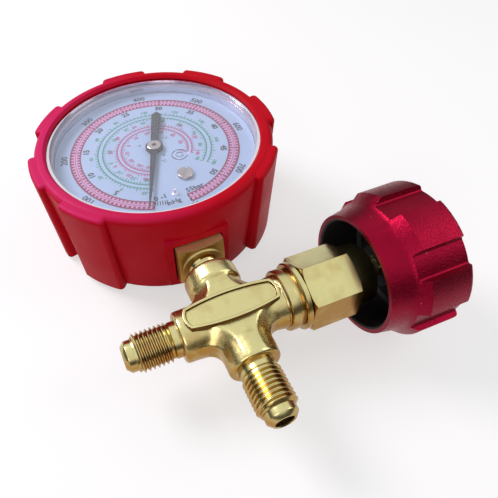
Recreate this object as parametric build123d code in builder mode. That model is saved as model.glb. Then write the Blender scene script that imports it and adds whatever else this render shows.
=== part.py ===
"""Refrigerant manifold gauge: a brass valve manifold that carries a booted pressure gauge.

The origin is the centre of the boot's back face and +Z points out of the dial. +X runs along
the valve arm towards the knob, and -Y runs from the gauge down to the front port. Lengths are
in millimetres. Heights are measured from the boot's back, and places along the manifold's arms
are measured from the point where the arms cross.
"""

import os
from math import cos, hypot, radians, sin, sqrt, tan

from build123d import *

os.makedirs("parts", exist_ok=True)

# ---------------------------------------------------------------- places
axis_drop = 62.3            # gauge centre to the crossing of the arms, along -Y
axis_height = 14.0          # crossing of the arms above the boot's back

# ---------------------------------------------------------------- clearances
running_gap = 0.05          # radial play of a shaft in its bore
boot_gap = 0.15             # boot to case
fit_gap = 0.1               # parts that are set beside each other

# ---------------------------------------------------------------- edge breaks and cutters
sharp_break = 0.3
turned_break = 0.6
overshoot = 1.0             # how far a cutter runs past the face it cuts

# ---------------------------------------------------------------- gauge case
case_r = 33.8               # outside of the drawn cup
case_wall = 0.7
case_front = 29.0           # height of the cup's open edge
case_flange = 0.8           # rolled flange: its width beyond the cup
flange_thick = 0.7
bezel_wall = 0.55
bezel_skirt = 5.9           # how far the bezel's skirt comes down
bezel_lip = 1.7             # how far the bezel turns in over the lens
lens_thick = 1.7
gasket_thick = 1.0
gasket_width = 1.7
plug_r = 5.0                # blow-out plug in the back
plug_lip = 1.2
plug_lip_thick = 0.8

# ---------------------------------------------------------------- boot
boot_floor = 2.0
boot_lip = 1.2              # boot over the bezel's edge
boot_lip_r = 34.5           # opening round the lens
boot_lip_break = 0.8        # sloped edge of that opening
boot_rim_r = 38.7           # outside at the front
boot_back_r = 36.0          # outside at the back
pad_back_r = 39.0           # grip pads stand out to here at the back
pad_front_r = 40.4          # and to here at the front
pad_angle = 24.0
pad_angles = (-44.0, -2.0, 43.0, 88.0, 140.5, 182.5, 219.5)
pad_drop = 0.3              # top of the pads below the rim
pad_side_round = 1.5
pad_top_round = 1.3
boot_rim_round = 2.2
window_half = 7.7           # half width of the window round the socket
window_above = 7.6          # window's edge above and below the socket's axis
window_lip = 2.2            # width of the raised border of the window
window_rise = 0.9           # how far that border stands out
window_depth = 4.0          # how far the border's block reaches into the wall

# ---------------------------------------------------------------- dial and pointer
dial_r = 32.2
dial_thick = 0.5
dial_height = 26.6          # face of the dial
dial_hole_r = 1.4
dial_foot_r = 1.2
dial_foot_x = 9.0
dial_foot_y = -8.0
pointer_rest = 249.0        # pointer's direction at rest, degrees from +X
stop_angle = 267.5
stop_at_r = 22.6
stop_r = 0.5
stop_height = 1.9
zero_screw_x = 4.9
zero_screw_y = -16.0
zero_screw_r = 2.6
zero_screw_head = 1.2
zero_screw_shank_r = 0.9
zero_screw_break = 0.2
zero_screw_slot = 0.7
zero_screw_slot_turn = 62.0
pointer_hub_r = 2.9
pointer_hub_rise = 0.5      # bottom of the hub above the dial
pointer_hub_tall = 1.2
pointer_blade_rise = 1.3
pointer_blade_thick = 0.35
pointer_length = 28.3
pointer_tail = 18.7
blade_half = 1.15           # half widths of the blade at the hub, the tip and the tail
blade_tip = 0.22
tail_half = 1.7
tail_flare = 1.6            # length of the tail's pointed end
cap_r = 2.3
cap_thick = 0.3
cap_break = 0.1

# ---------------------------------------------------------------- movement
gear_module = 0.3
pressure_angle = 20.0
pinion_teeth = 10
sector_teeth_full = 90      # teeth of the whole circle that the sector is cut from
sector_teeth = 13
tooth_thick = 0.36          # tooth thickness on the pitch circle
tooth_up = 0.28             # tooth above the pitch circle
tooth_down = 0.37           # tooth below the pitch circle
tooth_root = 0.2            # how far a tooth runs into its wheel
pinion_overhang = 0.6       # pinion's teeth above and below the sector
arbor_r = 0.6
sector_hub_r = 2.2
sector_rim = 2.2            # width of the toothed rim
sector_arm = 1.7            # width of the two arms
sector_arm_spread = 18.7    # angle of each arm from the sector's middle
sector_thick = 0.8
sector_level = 19.9         # underside of the sector
sector_pin_r = 0.7
tail_r = 4.0                # sector's pivot to the link's pin
tail_start = -86.4          # tail's direction at rest, degrees from +X
tail_width = 2.2
link_thick = 0.6
link_width = 1.8
link_length = 26.0
link_direction = 22.4       # degrees from +X
link_pin_r = 0.5
link_level = 19.1
link_eye_r = 1.35
link_lift = 0.2             # height of the link above the ear it slides over
rivet_r = 0.8               # rivet in the link's far end
rivet_head = 0.4
plate_thick = 1.0
back_plate_level = 15.5
front_plate_level = 22.0
plate_x = 11.5              # movement plates: half width
plate_top = 6.5             # movement plates: reach above the dial's centre
plate_bottom = -21.3
plate_round = 2.0
pillar_r = 1.3
pillar_low_x = 9.5
pillar_low_y = -19.3
pillar_high_x = 8.6
pillar_high_y = 4.4
plate_screw_r = 0.7
plate_screw_head_r = 1.25
plate_screw_head = 0.6
plate_screw_slot = 0.4
plate_screw_slot_turn = 30.0
screw_reach = 1.6           # how far the plate screws go into the pillars
spring_inner_r = 1.3
spring_pitch = 0.55
spring_turns = 5
spring_thick = 0.12
spring_tall = 0.5
spring_level = 17.5
stud_r = 0.5

# ---------------------------------------------------------------- Bourdon tube
tube_r = 26.0               # radius of the tube's centre line
tube_deep = 3.0             # tube's section across the spiral
tube_tall = 9.0             # tube's section along Z
tube_wall = 0.45
tube_round = 1.2            # corner of the tube's section
tube_level = 7.0            # underside of the tube
tube_root = 264.0           # the tube runs clockwise from here
tube_tip = -12.0
pocket_angle = 8.0          # pocket in the socket past the tube's root
pocket_sweep = 40.0         # the pocket is open over the tube for this angle
tube_end_angle = 13.0       # closing block past the tube's tip
tube_end_wall = 0.7
cup_depth = 4.0             # angle over which the closing block covers the tube

# ---------------------------------------------------------------- socket
socket_square = 14.4
socket_face = 21.0          # outer end of the square block, from the crossing
socket_bevel_r = 6.9        # the block's outer corners are bevelled outside this radius
socket_bevel_slope = 20.0
socket_step = -30.0         # Y where the outer block ends inside the case
neck_r = 6.5
neck_end = 20.2
socket_thread_r = 4.9
socket_thread_end = 10.5
socket_bore_r = 1.2
foot_half = 9.0
foot_top = 18.0
foot_outer = -31.6          # Y of the foot's outer face
foot_inner = -21.6          # Y of the foot's inner face
shelf_half = 6.0            # shelf that carries the movement
shelf_inner = -4.0
floor_screw_r = 1.5
floor_screw_head_r = 2.2
floor_screw_x = 5.5
floor_screw_y = -27.5
floor_screw_long = 4.0

# ---------------------------------------------------------------- manifold body
arm_flat = 13.8             # octagonal arms, across flats
arm_fillet = 4.0            # corner between two arms
left_arm_end = 12.0
front_arm_end = 13.8
valve_arm_end = 11.0
gauge_arm_end = 11.0
collar_r = 7.25             # turned collar behind each port
port_shoulder = 15.8
relief_r = 5.1
relief_length = 2.3
thread_r = 11.11 / 2        # 7/16-20 UNF, the thread of a 1/4 inch SAE flare
thread_end = 28.2
thread_chamfer = 0.7
nose_r = 4.4
port_tip = 31.3
port_land_r = 3.1
port_bore_r = 2.6
gauge_root = 10.0           # where the boss starts to rise from the arm
gauge_root_r = 7.1
gauge_boss_r = 8.1
gauge_boss_end = 16.3
gauge_bore_chamfer = 1.0
plate_half_long = 13.8
plate_half_wide = 4.8
plate_end_half = 3.0
plate_end_bow = 1.3         # how far the plate's ends bow out
plate_skirt = 0.4           # how far the plate spreads at its root
plate_slope = 6.0
plate_under = 4.5           # plate's root above the axis
plate_face = 7.6            # plate's face above the axis
plate_rim = 0.45            # height of the raised rim
plate_rim_wide = 0.8
valve_root = 10.0           # where the turned neck starts to rise from the arm
valve_root_r = 7.2
ring_one_root_r = 7.8       # neck just behind the first ring
ring_one_r = 8.9
ring_one_start = 14.6
ring_one_end = 17.3
ring_groove_r = 8.3
ring_two_r = 9.9
ring_two_start = 18.3
valve_arm_face = 20.2
valve_seat = 4.0            # seat of the valve from the crossing
seat_bore_r = 2.4
chamber_r = 4.5
nut_thread_r = 6.2
nut_thread_start = 11.5

# ---------------------------------------------------------------- packing nut and valve
nut_flats = 19.0
nut_end = 35.0
nut_turn = 28.0             # turn of the hexagon about the arm
nut_chamfer_r = 9.9         # the end faces are chamfered outside this radius
nut_chamfer_slope = 30.0
nut_collar_r = 8.8
nut_collar_end = 41.0
packing_r = 4.25
packing_end = 15.6
ring_minor = 0.55
ring_first = 12.85
ring_space = 1.2
gland_start = 14.7
gland_thick = 0.8
stem_r = 3.0
stem_collar_r = 4.2
stem_start = 6.2
stem_collar_end = 8.5
stem_round_end = 45.5
stem_square = 4.6
stem_end = 55.2
seat_disc_r = 3.6
seat_disc_start = 4.05
seat_stub_r = 1.2
seat_stub_end = 7.5

# ---------------------------------------------------------------- knob
knob_mouth = 38.0
knob_mouth_r = 18.0
knob_skirt_r = 19.1
knob_skirt_end = 44.2
grip_start = 47.6
grip_r = 21.8
flute_r = 19.9
flute_start = 45.2
knob_end = 60.5
lobe_count = 7
lobe_angle = 31.4
lobe_turn = 106.5           # direction of one lobe from +Y about the stem
flute_flare = 2.0           # flutes open outwards by this angle on each side
flute_round = 0.7
knob_end_round = 1.2
knob_mouth_break = 0.5
knob_bore_r = 16.3
knob_web = 52.0
knob_hub_r = 6.2
knob_hub_start = 45.8
recess_r = 8.0
recess_floor = 55.5
cap_plate = 0.8
washer_r = 4.6
washer_thick = 0.8
knob_screw_head_r = 3.6
knob_screw_head = 2.2
knob_screw_r = 1.5
knob_screw_depth = 46.5
cross_slot = 0.8            # cross recess of the screw
cross_length = 3.6

# ---------------------------------------------------------------- worked-out places
crossing = Vector(0, -axis_drop, axis_height)
valve_axis = Axis(crossing, (1, 0, 0))
port_axis = Axis(crossing, (0, 1, 0))
along_valve = Plane(origin=crossing, x_dir=(1, 0, 0), z_dir=(0, -1, 0))
along_port = Plane(origin=crossing, x_dir=(0, 1, 0), z_dir=(1, 0, 0))
case_back = boot_floor + boot_gap
case_inner_r = case_r - case_wall
flange_r = case_r + case_flange
bezel_inner_r = flange_r + fit_gap
bezel_r = bezel_inner_r + bezel_wall
lens_bottom = case_front + gasket_thick
lens_top = lens_bottom + lens_thick
bezel_top = lens_top + bezel_wall
boot_height = bezel_top + boot_gap + boot_lip
dial_bottom = dial_height - dial_thick
gear_centres = gear_module * (sector_teeth_full + pinion_teeth) / 2
pinion_r = gear_module * pinion_teeth / 2
sector_r = gear_module * sector_teeth_full / 2
tail_x = tail_r * cos(radians(tail_start))
tail_y = tail_r * sin(radians(tail_start)) - gear_centres
link_far_x = tail_x + link_length * cos(radians(link_direction))
link_far_y = tail_y + link_length * sin(radians(link_direction))
hub_bottom = dial_height + pointer_hub_rise
blade_bottom = dial_height + pointer_blade_rise
hub_top = hub_bottom + pointer_hub_tall
case_floor = case_back + case_wall
plug_top = case_floor + plug_lip_thick
on_floor = (Align.CENTER, Align.CENTER, Align.MIN)
floor_screw_places = [(-floor_screw_x, floor_screw_y, case_back),
                      (floor_screw_x, floor_screw_y, case_back)]


def square_to_valve(along):
    """Plane across the valve arm, seen from the knob: its x is +Y and its y is +Z."""
    return Plane(origin=crossing + Vector(along, 0, 0), x_dir=(0, 1, 0), z_dir=(1, 0, 0))


def square_to_port(along):
    """Plane across the gauge arm, looking to +Y: its x is -X and its y is +Z."""
    return Plane(origin=crossing + Vector(0, along, 0), x_dir=(-1, 0, 0), z_dir=(0, 1, 0))


def turn(outline, plane, axis, mode=Mode.ADD):
    """Turned shape: a closed outline of (along, out) points swept round an axis."""
    with BuildSketch(plane) as profile:
        with BuildLine():
            Polyline(*outline, close=True)
        make_face()
    revolve(profile.sketch, axis=axis, mode=mode)


def turn_valve(outline, mode=Mode.ADD):
    turn(outline, along_valve, valve_axis, mode)


def turn_port(outline, mode=Mode.ADD):
    turn(outline, along_port, port_axis, mode)


def turn_gauge(outline, mode=Mode.ADD):
    turn(outline, Plane.XZ, Axis.Z, mode)


def reach(edge):
    """Distance of an edge's middle from the gauge's axis."""
    return hypot(edge.center().X, edge.center().Y)


def write(part, label):
    part.label = label
    export_step(part, f"parts/{label}.step")


# ================================================================ boot
def pad_section(height, outer_r, centre):
    """Section of one grip pad: a sector that reaches into the boot's wall."""
    root_r = boot_back_r - boot_floor / 2
    start = centre - pad_angle / 2
    with BuildSketch(Plane.XY.offset(height)) as section:
        with BuildLine():
            rim = CenterArc((0, 0), outer_r, start, pad_angle)
            root = CenterArc((0, 0), root_r, start, pad_angle)
            Line(rim @ 0, root @ 0)
            Line(rim @ 1, root @ 1)
        make_face()
    return section.sketch


pad_top = boot_height - pad_drop
cavity_r = case_r + boot_gap
bezel_cavity_r = bezel_r + boot_gap
bezel_cavity_floor = bezel_top - bezel_skirt - fit_gap
slope = (boot_rim_r - boot_back_r) / boot_height
window_plane_y = -(boot_back_r + slope * axis_height + window_rise)

with BuildPart() as boot:
    turn_gauge([(0, 0), (boot_back_r, 0), (boot_rim_r, boot_height), (0, boot_height)])
    rim_edge = boot.edges().filter_by(GeomType.CIRCLE).sort_by(Axis.Z)[-1]
    fillet(rim_edge, boot_rim_round)
    for centre in pad_angles:
        low = pad_section(0, pad_back_r, centre)
        high = pad_section(pad_top, pad_front_r, centre)
        with BuildPart(mode=Mode.PRIVATE) as pad:
            loft([low, high])
            long_edges = pad.edges().filter_by(lambda e: abs(e.tangent_at(0.5).Z) > 0.9)
            fillet(long_edges.group_by(reach)[-1], pad_side_round)
            fillet(pad.faces().sort_by(Axis.Z)[-1].edges().filter_by(
                lambda e: reach(e) > boot_back_r), pad_top_round)
        add(pad.part)
    border_half = window_half + window_lip
    border_high = window_above + window_lip
    with BuildSketch(Plane(origin=(0, window_plane_y, axis_height), x_dir=(1, 0, 0),
                           z_dir=(0, -1, 0))):
        Rectangle(2 * border_half, 2 * border_high)
    extrude(amount=-window_rise - window_depth)
    turn_gauge([(0, boot_floor), (cavity_r, boot_floor), (cavity_r, bezel_cavity_floor),
                (bezel_cavity_r, bezel_cavity_floor), (bezel_cavity_r, bezel_top + boot_gap),
                (boot_lip_r, bezel_top + boot_gap), (boot_lip_r, boot_height - boot_lip_break),
                (boot_lip_r + boot_lip_break + overshoot, boot_height + overshoot),
                (0, boot_height + overshoot)], mode=Mode.SUBTRACT)
    with BuildSketch(Plane(origin=(0, window_plane_y - overshoot, axis_height),
                           x_dir=(1, 0, 0), z_dir=(0, -1, 0))):
        Rectangle(2 * window_half, 2 * window_above)
    extrude(amount=-3 * window_depth, mode=Mode.SUBTRACT)
write(boot.part, "boot")

# ================================================================ case, bezel, lens
with BuildPart() as case:
    turn_gauge([(0, case_back), (case_r, case_back), (case_r, case_front - flange_thick),
                (flange_r, case_front - flange_thick), (flange_r, case_front),
                (case_inner_r, case_front), (case_inner_r, case_back + case_wall),
                (0, case_back + case_wall)])
    corner = case.edges().filter_by(GeomType.CIRCLE).group_by(Axis.Z)[0].sort_by(SortBy.LENGTH)[-1]
    fillet(corner, case_wall)
    with BuildSketch(Plane(origin=(0, -case_r - overshoot, axis_height), x_dir=(1, 0, 0),
                           z_dir=(0, 1, 0))):
        Rectangle(socket_square + 2 * fit_gap, socket_square + 2 * fit_gap)
    extrude(amount=case_r + overshoot + socket_step, mode=Mode.SUBTRACT)
    with BuildSketch(Plane.XY.offset(case_back - overshoot)):
        Circle(plug_r + fit_gap)
    extrude(amount=case_wall + 2 * overshoot, mode=Mode.SUBTRACT)
    with Locations(*floor_screw_places):
        Cone(floor_screw_head_r, floor_screw_r, case_wall, align=on_floor, mode=Mode.SUBTRACT)
write(case.part, "case")

with BuildPart() as case_plug:
    turn_gauge([(0, case_back), (plug_r, case_back), (plug_r, case_back + case_wall),
                (plug_r + plug_lip, case_back + case_wall),
                (plug_r + plug_lip, plug_top), (0, plug_top)])
write(case_plug.part, "case_plug")

with BuildPart() as bezel:
    turn_gauge([(bezel_r, bezel_top - bezel_skirt), (bezel_r, bezel_top),
                (bezel_r - bezel_lip, bezel_top), (bezel_r - bezel_lip, lens_top),
                (bezel_inner_r, lens_top), (bezel_inner_r, bezel_top - bezel_skirt)])
write(bezel.part, "bezel")

with BuildPart() as lens:
    with BuildSketch(Plane.XY.offset(lens_bottom)):
        Circle(flange_r)
    extrude(amount=lens_thick)
write(lens.part, "lens")

with BuildPart() as lens_gasket:
    with BuildSketch(Plane.XY.offset(case_front)):
        Circle(flange_r)
        Circle(flange_r - gasket_width, mode=Mode.SUBTRACT)
    extrude(amount=gasket_thick)
write(lens_gasket.part, "lens_gasket")

# ================================================================ dial and what stands on it
stop_x = stop_at_r * cos(radians(stop_angle))
stop_y = stop_at_r * sin(radians(stop_angle))
front_plate_top = front_plate_level + plate_thick

with BuildPart() as dial:
    with BuildSketch(Plane.XY.offset(dial_bottom)):
        Circle(dial_r)
        Circle(dial_hole_r, mode=Mode.SUBTRACT)
        with Locations((zero_screw_x, zero_screw_y)):
            Circle(zero_screw_shank_r + fit_gap, mode=Mode.SUBTRACT)
        with Locations((stop_x, stop_y)):
            Circle(stop_r, mode=Mode.SUBTRACT)
    extrude(amount=dial_thick)
    with BuildSketch(Plane.XY.offset(front_plate_top)):
        with Locations((-dial_foot_x, dial_foot_y), (dial_foot_x, dial_foot_y)):
            Circle(dial_foot_r)
    extrude(amount=dial_bottom - front_plate_top)
write(dial.part, "dial")

with BuildPart() as stop_pin:
    with BuildSketch(Plane.XY.offset(dial_bottom)):
        with Locations((stop_x, stop_y)):
            Circle(stop_r)
    extrude(amount=dial_thick + stop_height)
write(stop_pin.part, "stop_pin")

with BuildPart() as zero_screw:
    with BuildSketch(Plane.XY.offset(dial_height)):
        with Locations((zero_screw_x, zero_screw_y)):
            Circle(zero_screw_r)
    extrude(amount=zero_screw_head)
    chamfer(zero_screw.edges().sort_by(Axis.Z)[-1], zero_screw_break)
    with BuildSketch(Plane.XY.offset(front_plate_level + fit_gap)):
        with Locations((zero_screw_x, zero_screw_y)):
            Circle(zero_screw_shank_r)
    extrude(amount=dial_height - front_plate_level - fit_gap)
    with BuildSketch(Plane.XY.offset(dial_height + zero_screw_head / 2)):
        with Locations(Location((zero_screw_x, zero_screw_y), zero_screw_slot_turn)):
            Rectangle(3 * zero_screw_r, zero_screw_slot)
    extrude(amount=zero_screw_head, mode=Mode.SUBTRACT)
write(zero_screw.part, "zero_screw")

# ================================================================ pointer
with BuildPart() as pointer:
    with BuildSketch(Plane.XY.offset(hub_bottom)):
        Circle(pointer_hub_r)
        Circle(arbor_r, mode=Mode.SUBTRACT)
    extrude(amount=pointer_hub_tall)
    chamfer(pointer.edges().group_by(Axis.Z)[-1].sort_by(SortBy.LENGTH)[-1], sharp_break)
    with BuildSketch(Plane.XY.offset(blade_bottom).rotated((0, 0, pointer_rest))):
        with BuildLine():
            Polyline((0, blade_half), (pointer_length, blade_tip), (pointer_length, -blade_tip),
                     (0, -blade_half), (tail_flare - pointer_tail, -tail_half),
                     (-pointer_tail, 0), (tail_flare - pointer_tail, tail_half), close=True)
        make_face()
        Circle(arbor_r, mode=Mode.SUBTRACT)
    extrude(amount=pointer_blade_thick)
write(pointer.part, "pointer")

with BuildPart() as pointer_cap:
    with BuildSketch(Plane.XY.offset(hub_top)):
        Circle(cap_r)
    extrude(amount=cap_thick)
    chamfer(pointer_cap.edges().sort_by(Axis.Z)[-1], cap_break)
write(pointer_cap.part, "pointer_cap")


# ================================================================ gears
def toothed(pitch_r, directions, height, thick, centre=(0, 0)):
    """Straight-flanked teeth that stand out of a pitch circle in the given directions."""
    flank = tan(radians(pressure_angle))
    tip = tooth_thick / 2 - tooth_up * flank
    root = tooth_thick / 2 + tooth_down * flank
    with BuildSketch(Plane.XY.offset(height)) as teeth:
        for direction in directions:
            with Locations(Location((centre[0], centre[1], 0), (0, 0, direction))):
                Polygon((pitch_r - tooth_down - tooth_root, -root), (pitch_r - tooth_down, -root),
                        (pitch_r + tooth_up, -tip), (pitch_r + tooth_up, tip),
                        (pitch_r - tooth_down, root), (pitch_r - tooth_down - tooth_root, root),
                        align=None)
    extrude(teeth.sketch, amount=thick)


with BuildPart() as pinion:
    with BuildSketch(Plane.XY.offset(back_plate_level)):
        Circle(arbor_r)
    extrude(amount=hub_top - back_plate_level)
    with BuildSketch(Plane.XY.offset(sector_level - pinion_overhang)):
        Circle(pinion_r - tooth_down)
    extrude(amount=sector_thick + 2 * pinion_overhang)
    toothed(pinion_r, [360 / pinion_teeth * k - 90 for k in range(pinion_teeth)],
            sector_level - pinion_overhang, sector_thick + 2 * pinion_overhang)
write(pinion.part, "pinion")

tooth_step = 360 / sector_teeth_full
sector_first = 90 + tooth_step / 2 - (sector_teeth - 2) * tooth_step
sector_directions = [sector_first + tooth_step * k for k in range(sector_teeth)]
sector_mid = (sector_directions[0] + sector_directions[-1]) / 2
sector_spread = sector_directions[-1] - sector_directions[0] + tooth_step
sector_root_r = sector_r - tooth_down

with BuildPart() as sector_gear:
    with BuildSketch(Plane.XY.offset(sector_level)):
        with Locations((0, -gear_centres)):
            Circle(sector_hub_r)
        with BuildLine():
            rim = CenterArc((0, -gear_centres), sector_root_r, sector_mid - sector_spread / 2,
                            sector_spread)
            inner = CenterArc((0, -gear_centres), sector_root_r - sector_rim,
                              sector_mid - sector_spread / 2, sector_spread)
            Line(rim @ 0, inner @ 0)
            Line(rim @ 1, inner @ 1)
        make_face()
        for side in (-sector_arm_spread, sector_arm_spread):
            with Locations(Location((0, -gear_centres, 0), (0, 0, sector_mid + side))):
                with Locations(((sector_root_r - sector_rim / 2) / 2, 0)):
                    Rectangle(sector_root_r - sector_rim / 2, sector_arm)
        with Locations(Location((0, -gear_centres, 0), (0, 0, tail_start))):
            with Locations((tail_r / 2, 0)):
                Rectangle(tail_r, tail_width)
            with Locations((tail_r, 0)):
                Circle(tail_width / 2)
    extrude(amount=sector_thick)
    toothed(sector_r, sector_directions, sector_level, sector_thick, (0, -gear_centres))
    with BuildSketch(Plane.XY.offset(back_plate_level)):
        with Locations((0, -gear_centres)):
            Circle(sector_pin_r)
    extrude(amount=front_plate_top - back_plate_level)
    with BuildSketch(Plane.XY.offset(link_level - link_lift)):
        with Locations((tail_x, tail_y)):
            Circle(link_pin_r)
    extrude(amount=sector_level - link_level + link_lift)
write(sector_gear.part, "sector_gear")

with BuildPart() as link_rod:
    with BuildSketch(Plane.XY.offset(link_level)):
        with Locations(Location((tail_x, tail_y, 0), (0, 0, link_direction))):
            with Locations((link_length / 2, 0)):
                Rectangle(link_length, link_width)
            with Locations((0, 0), (link_length, 0)):
                Circle(link_eye_r)
            Circle(link_pin_r + running_gap, mode=Mode.SUBTRACT)
    extrude(amount=link_thick)
    with BuildSketch(Plane.XY.offset(link_level + link_thick)):
        with Locations((link_far_x, link_far_y)):
            Circle(rivet_r)
    extrude(amount=rivet_head)
write(link_rod.part, "link_rod")

# ================================================================ movement frame
pillar_places = [(-pillar_low_x, pillar_low_y), (pillar_low_x, pillar_low_y),
                 (-pillar_high_x, pillar_high_y), (pillar_high_x, pillar_high_y)]
back_plate_top = back_plate_level + plate_thick


def movement_plate(level):
    """One plate of the movement with its pivot holes and screw holes."""
    with BuildSketch(Plane.XY.offset(level)) as outline:
        with Locations((0, (plate_top + plate_bottom) / 2)):
            RectangleRounded(2 * plate_x, plate_top - plate_bottom, plate_round)
        Circle(arbor_r + running_gap, mode=Mode.SUBTRACT)
        with Locations((0, -gear_centres)):
            Circle(sector_pin_r + running_gap, mode=Mode.SUBTRACT)
        with Locations(*pillar_places):
            Circle(plate_screw_r, mode=Mode.SUBTRACT)
    extrude(outline.sketch, amount=plate_thick)


with BuildPart() as movement_back_plate:
    movement_plate(back_plate_level)
    stud_at = spring_inner_r + spring_pitch * spring_turns + spring_thick / 2 + stud_r
    with BuildSketch(Plane.XY.offset(back_plate_top)):
        with Locations((-stud_at, 0)):
            Circle(stud_r)
    extrude(amount=spring_level + spring_tall - back_plate_top)
write(movement_back_plate.part, "movement_back_plate")

with BuildPart() as movement_front_plate:
    movement_plate(front_plate_level)
    with BuildSketch(Plane.XY.offset(front_plate_level)):
        with Locations((zero_screw_x, zero_screw_y)):
            Circle(zero_screw_shank_r)
    extrude(amount=plate_thick, mode=Mode.SUBTRACT)
write(movement_front_plate.part, "movement_front_plate")

with BuildPart() as movement_pillars:
    with BuildSketch(Plane.XY.offset(back_plate_top)):
        with Locations(*pillar_places):
            Circle(pillar_r)
    extrude(amount=front_plate_level - back_plate_top)
    with BuildSketch(Plane.XY.offset(front_plate_level - screw_reach)):
        with Locations(*pillar_places):
            Circle(plate_screw_r)
    extrude(amount=screw_reach, mode=Mode.SUBTRACT)
write(movement_pillars.part, "movement_pillars")

with BuildPart() as movement_screws:
    with BuildSketch(Plane.XY.offset(front_plate_top)):
        with Locations(*pillar_places):
            Circle(plate_screw_head_r)
    extrude(amount=plate_screw_head)
    with BuildSketch(Plane.XY.offset(front_plate_level - screw_reach)):
        with Locations(*pillar_places):
            Circle(plate_screw_r)
    extrude(amount=screw_reach + plate_thick)
    with BuildSketch(Plane.XY.offset(front_plate_top + plate_screw_head / 2)):
        with Locations(*pillar_places):
            Rectangle(3 * plate_screw_r, plate_screw_slot, rotation=plate_screw_slot_turn)
    extrude(amount=plate_screw_head, mode=Mode.SUBTRACT)
write(movement_screws.part, "movement_screws")


def coil(offset):
    """Half turns of the hairspring, each wider than the last, shifted outwards by offset."""
    step = spring_pitch / 2
    halves = [CenterArc((-step * (k % 2), 0), spring_inner_r + step * k + offset,
                        180 * (k + 1), 180) for k in range(2 * spring_turns)]
    return halves[0] @ 0, halves[-1] @ 1


with BuildPart() as hairspring:
    with BuildSketch(Plane.XY.offset(spring_level)):
        with BuildLine():
            inner_start, inner_end = coil(0)
            outer_start, outer_end = coil(spring_thick)
            Line(inner_start, outer_start)
            Line(inner_end, outer_end)
        make_face()
    extrude(amount=spring_tall)
write(hairspring.part, "hairspring")


# ================================================================ Bourdon tube
def tube_section(start, grow=0.0):
    """Plane and size of the tube's section at one direction about the gauge's axis."""
    plane = Plane(origin=(0, 0, 0), x_dir=(cos(radians(start)), sin(radians(start)), 0),
                  z_dir=(sin(radians(start)), -cos(radians(start)), 0))
    with BuildSketch(plane) as section:
        with Locations((tube_r, tube_level + tube_tall / 2)):
            RectangleRounded(tube_deep + 2 * grow, tube_tall + 2 * grow, tube_round + grow)
    return section.sketch


with BuildPart() as bourdon_tube:
    revolve(tube_section(tube_tip), axis=Axis.Z, revolution_arc=tube_root - tube_tip)
    revolve(tube_section(tube_tip, -tube_wall), axis=Axis.Z,
            revolution_arc=tube_root - tube_tip, mode=Mode.SUBTRACT)
write(bourdon_tube.part, "bourdon_tube")

end_far = tube_tip - tube_end_angle

with BuildPart() as tube_end:
    revolve(tube_section(end_far, tube_end_wall), axis=Axis.Z,
            revolution_arc=tube_end_angle + cup_depth)
    revolve(tube_section(tube_tip, running_gap), axis=Axis.Z,
            revolution_arc=cup_depth + overshoot, mode=Mode.SUBTRACT)
    with BuildSketch(Plane.XY.offset(tube_level + tube_tall)):
        with Locations((link_far_x, link_far_y)):
            Circle(link_eye_r)
    extrude(amount=link_level - link_lift - tube_level - tube_tall)
write(tube_end.part, "tube_end")

# ================================================================ socket
bevel_fall = (socket_square - socket_bevel_r) * tan(radians(socket_bevel_slope))

with BuildPart() as socket:
    turn_port([(socket_face + overshoot, 0), (socket_face + overshoot, neck_r),
               (neck_end, neck_r), (neck_end, socket_thread_r),
               (socket_thread_end + turned_break, socket_thread_r),
               (socket_thread_end, socket_thread_r - turned_break), (socket_thread_end, 0)])
    with BuildSketch(square_to_port(socket_face)):
        Rectangle(socket_square, socket_square)
    extrude(amount=axis_drop + socket_step - socket_face)
    turn_port([(socket_face - overshoot, socket_bevel_r), (socket_face - overshoot, socket_square),
               (socket_face + bevel_fall, socket_square),
               (socket_face, socket_bevel_r)], mode=Mode.SUBTRACT)
    with BuildSketch(Plane.XY.offset(case_floor)):
        with Locations((0, (foot_outer + foot_inner) / 2)):
            Rectangle(2 * foot_half, foot_inner - foot_outer)
    extrude(amount=foot_top - case_floor)
    with BuildSketch(Plane.XY.offset(case_floor)):
        with Locations((0, (foot_inner + shelf_inner) / 2)):
            Rectangle(2 * shelf_half, shelf_inner - foot_inner)
    extrude(amount=back_plate_level - case_floor)
    with BuildSketch(Plane.XY.offset(case_floor)):
        Circle(plug_r + plug_lip + 3 * fit_gap)
    extrude(amount=back_plate_level - case_floor, mode=Mode.SUBTRACT)
    revolve(tube_section(tube_root - pocket_sweep, running_gap), axis=Axis.Z,
            revolution_arc=pocket_sweep + pocket_angle, mode=Mode.SUBTRACT)
    turn_port([(socket_thread_end - overshoot, 0), (socket_thread_end - overshoot, socket_bore_r),
               (axis_drop - tube_r, socket_bore_r), (axis_drop - tube_r, 0)], mode=Mode.SUBTRACT)
    with BuildSketch(Plane.XY.offset(case_floor)):
        with Locations((-floor_screw_x, floor_screw_y), (floor_screw_x, floor_screw_y)):
            Circle(floor_screw_r)
    extrude(amount=floor_screw_long, mode=Mode.SUBTRACT)
write(socket.part, "socket")

with BuildPart() as case_screws:
    with Locations(*floor_screw_places):
        Cone(floor_screw_head_r, floor_screw_r, case_wall, align=on_floor)
    with BuildSketch(Plane.XY.offset(case_floor)):
        with Locations((-floor_screw_x, floor_screw_y), (floor_screw_x, floor_screw_y)):
            Circle(floor_screw_r)
    extrude(amount=floor_screw_long)
write(case_screws.part, "case_screws")

# ================================================================ manifold body
arm_side = arm_flat * (sqrt(2) - 1)
arm_chamfer = (arm_flat - arm_side) / 2


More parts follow.
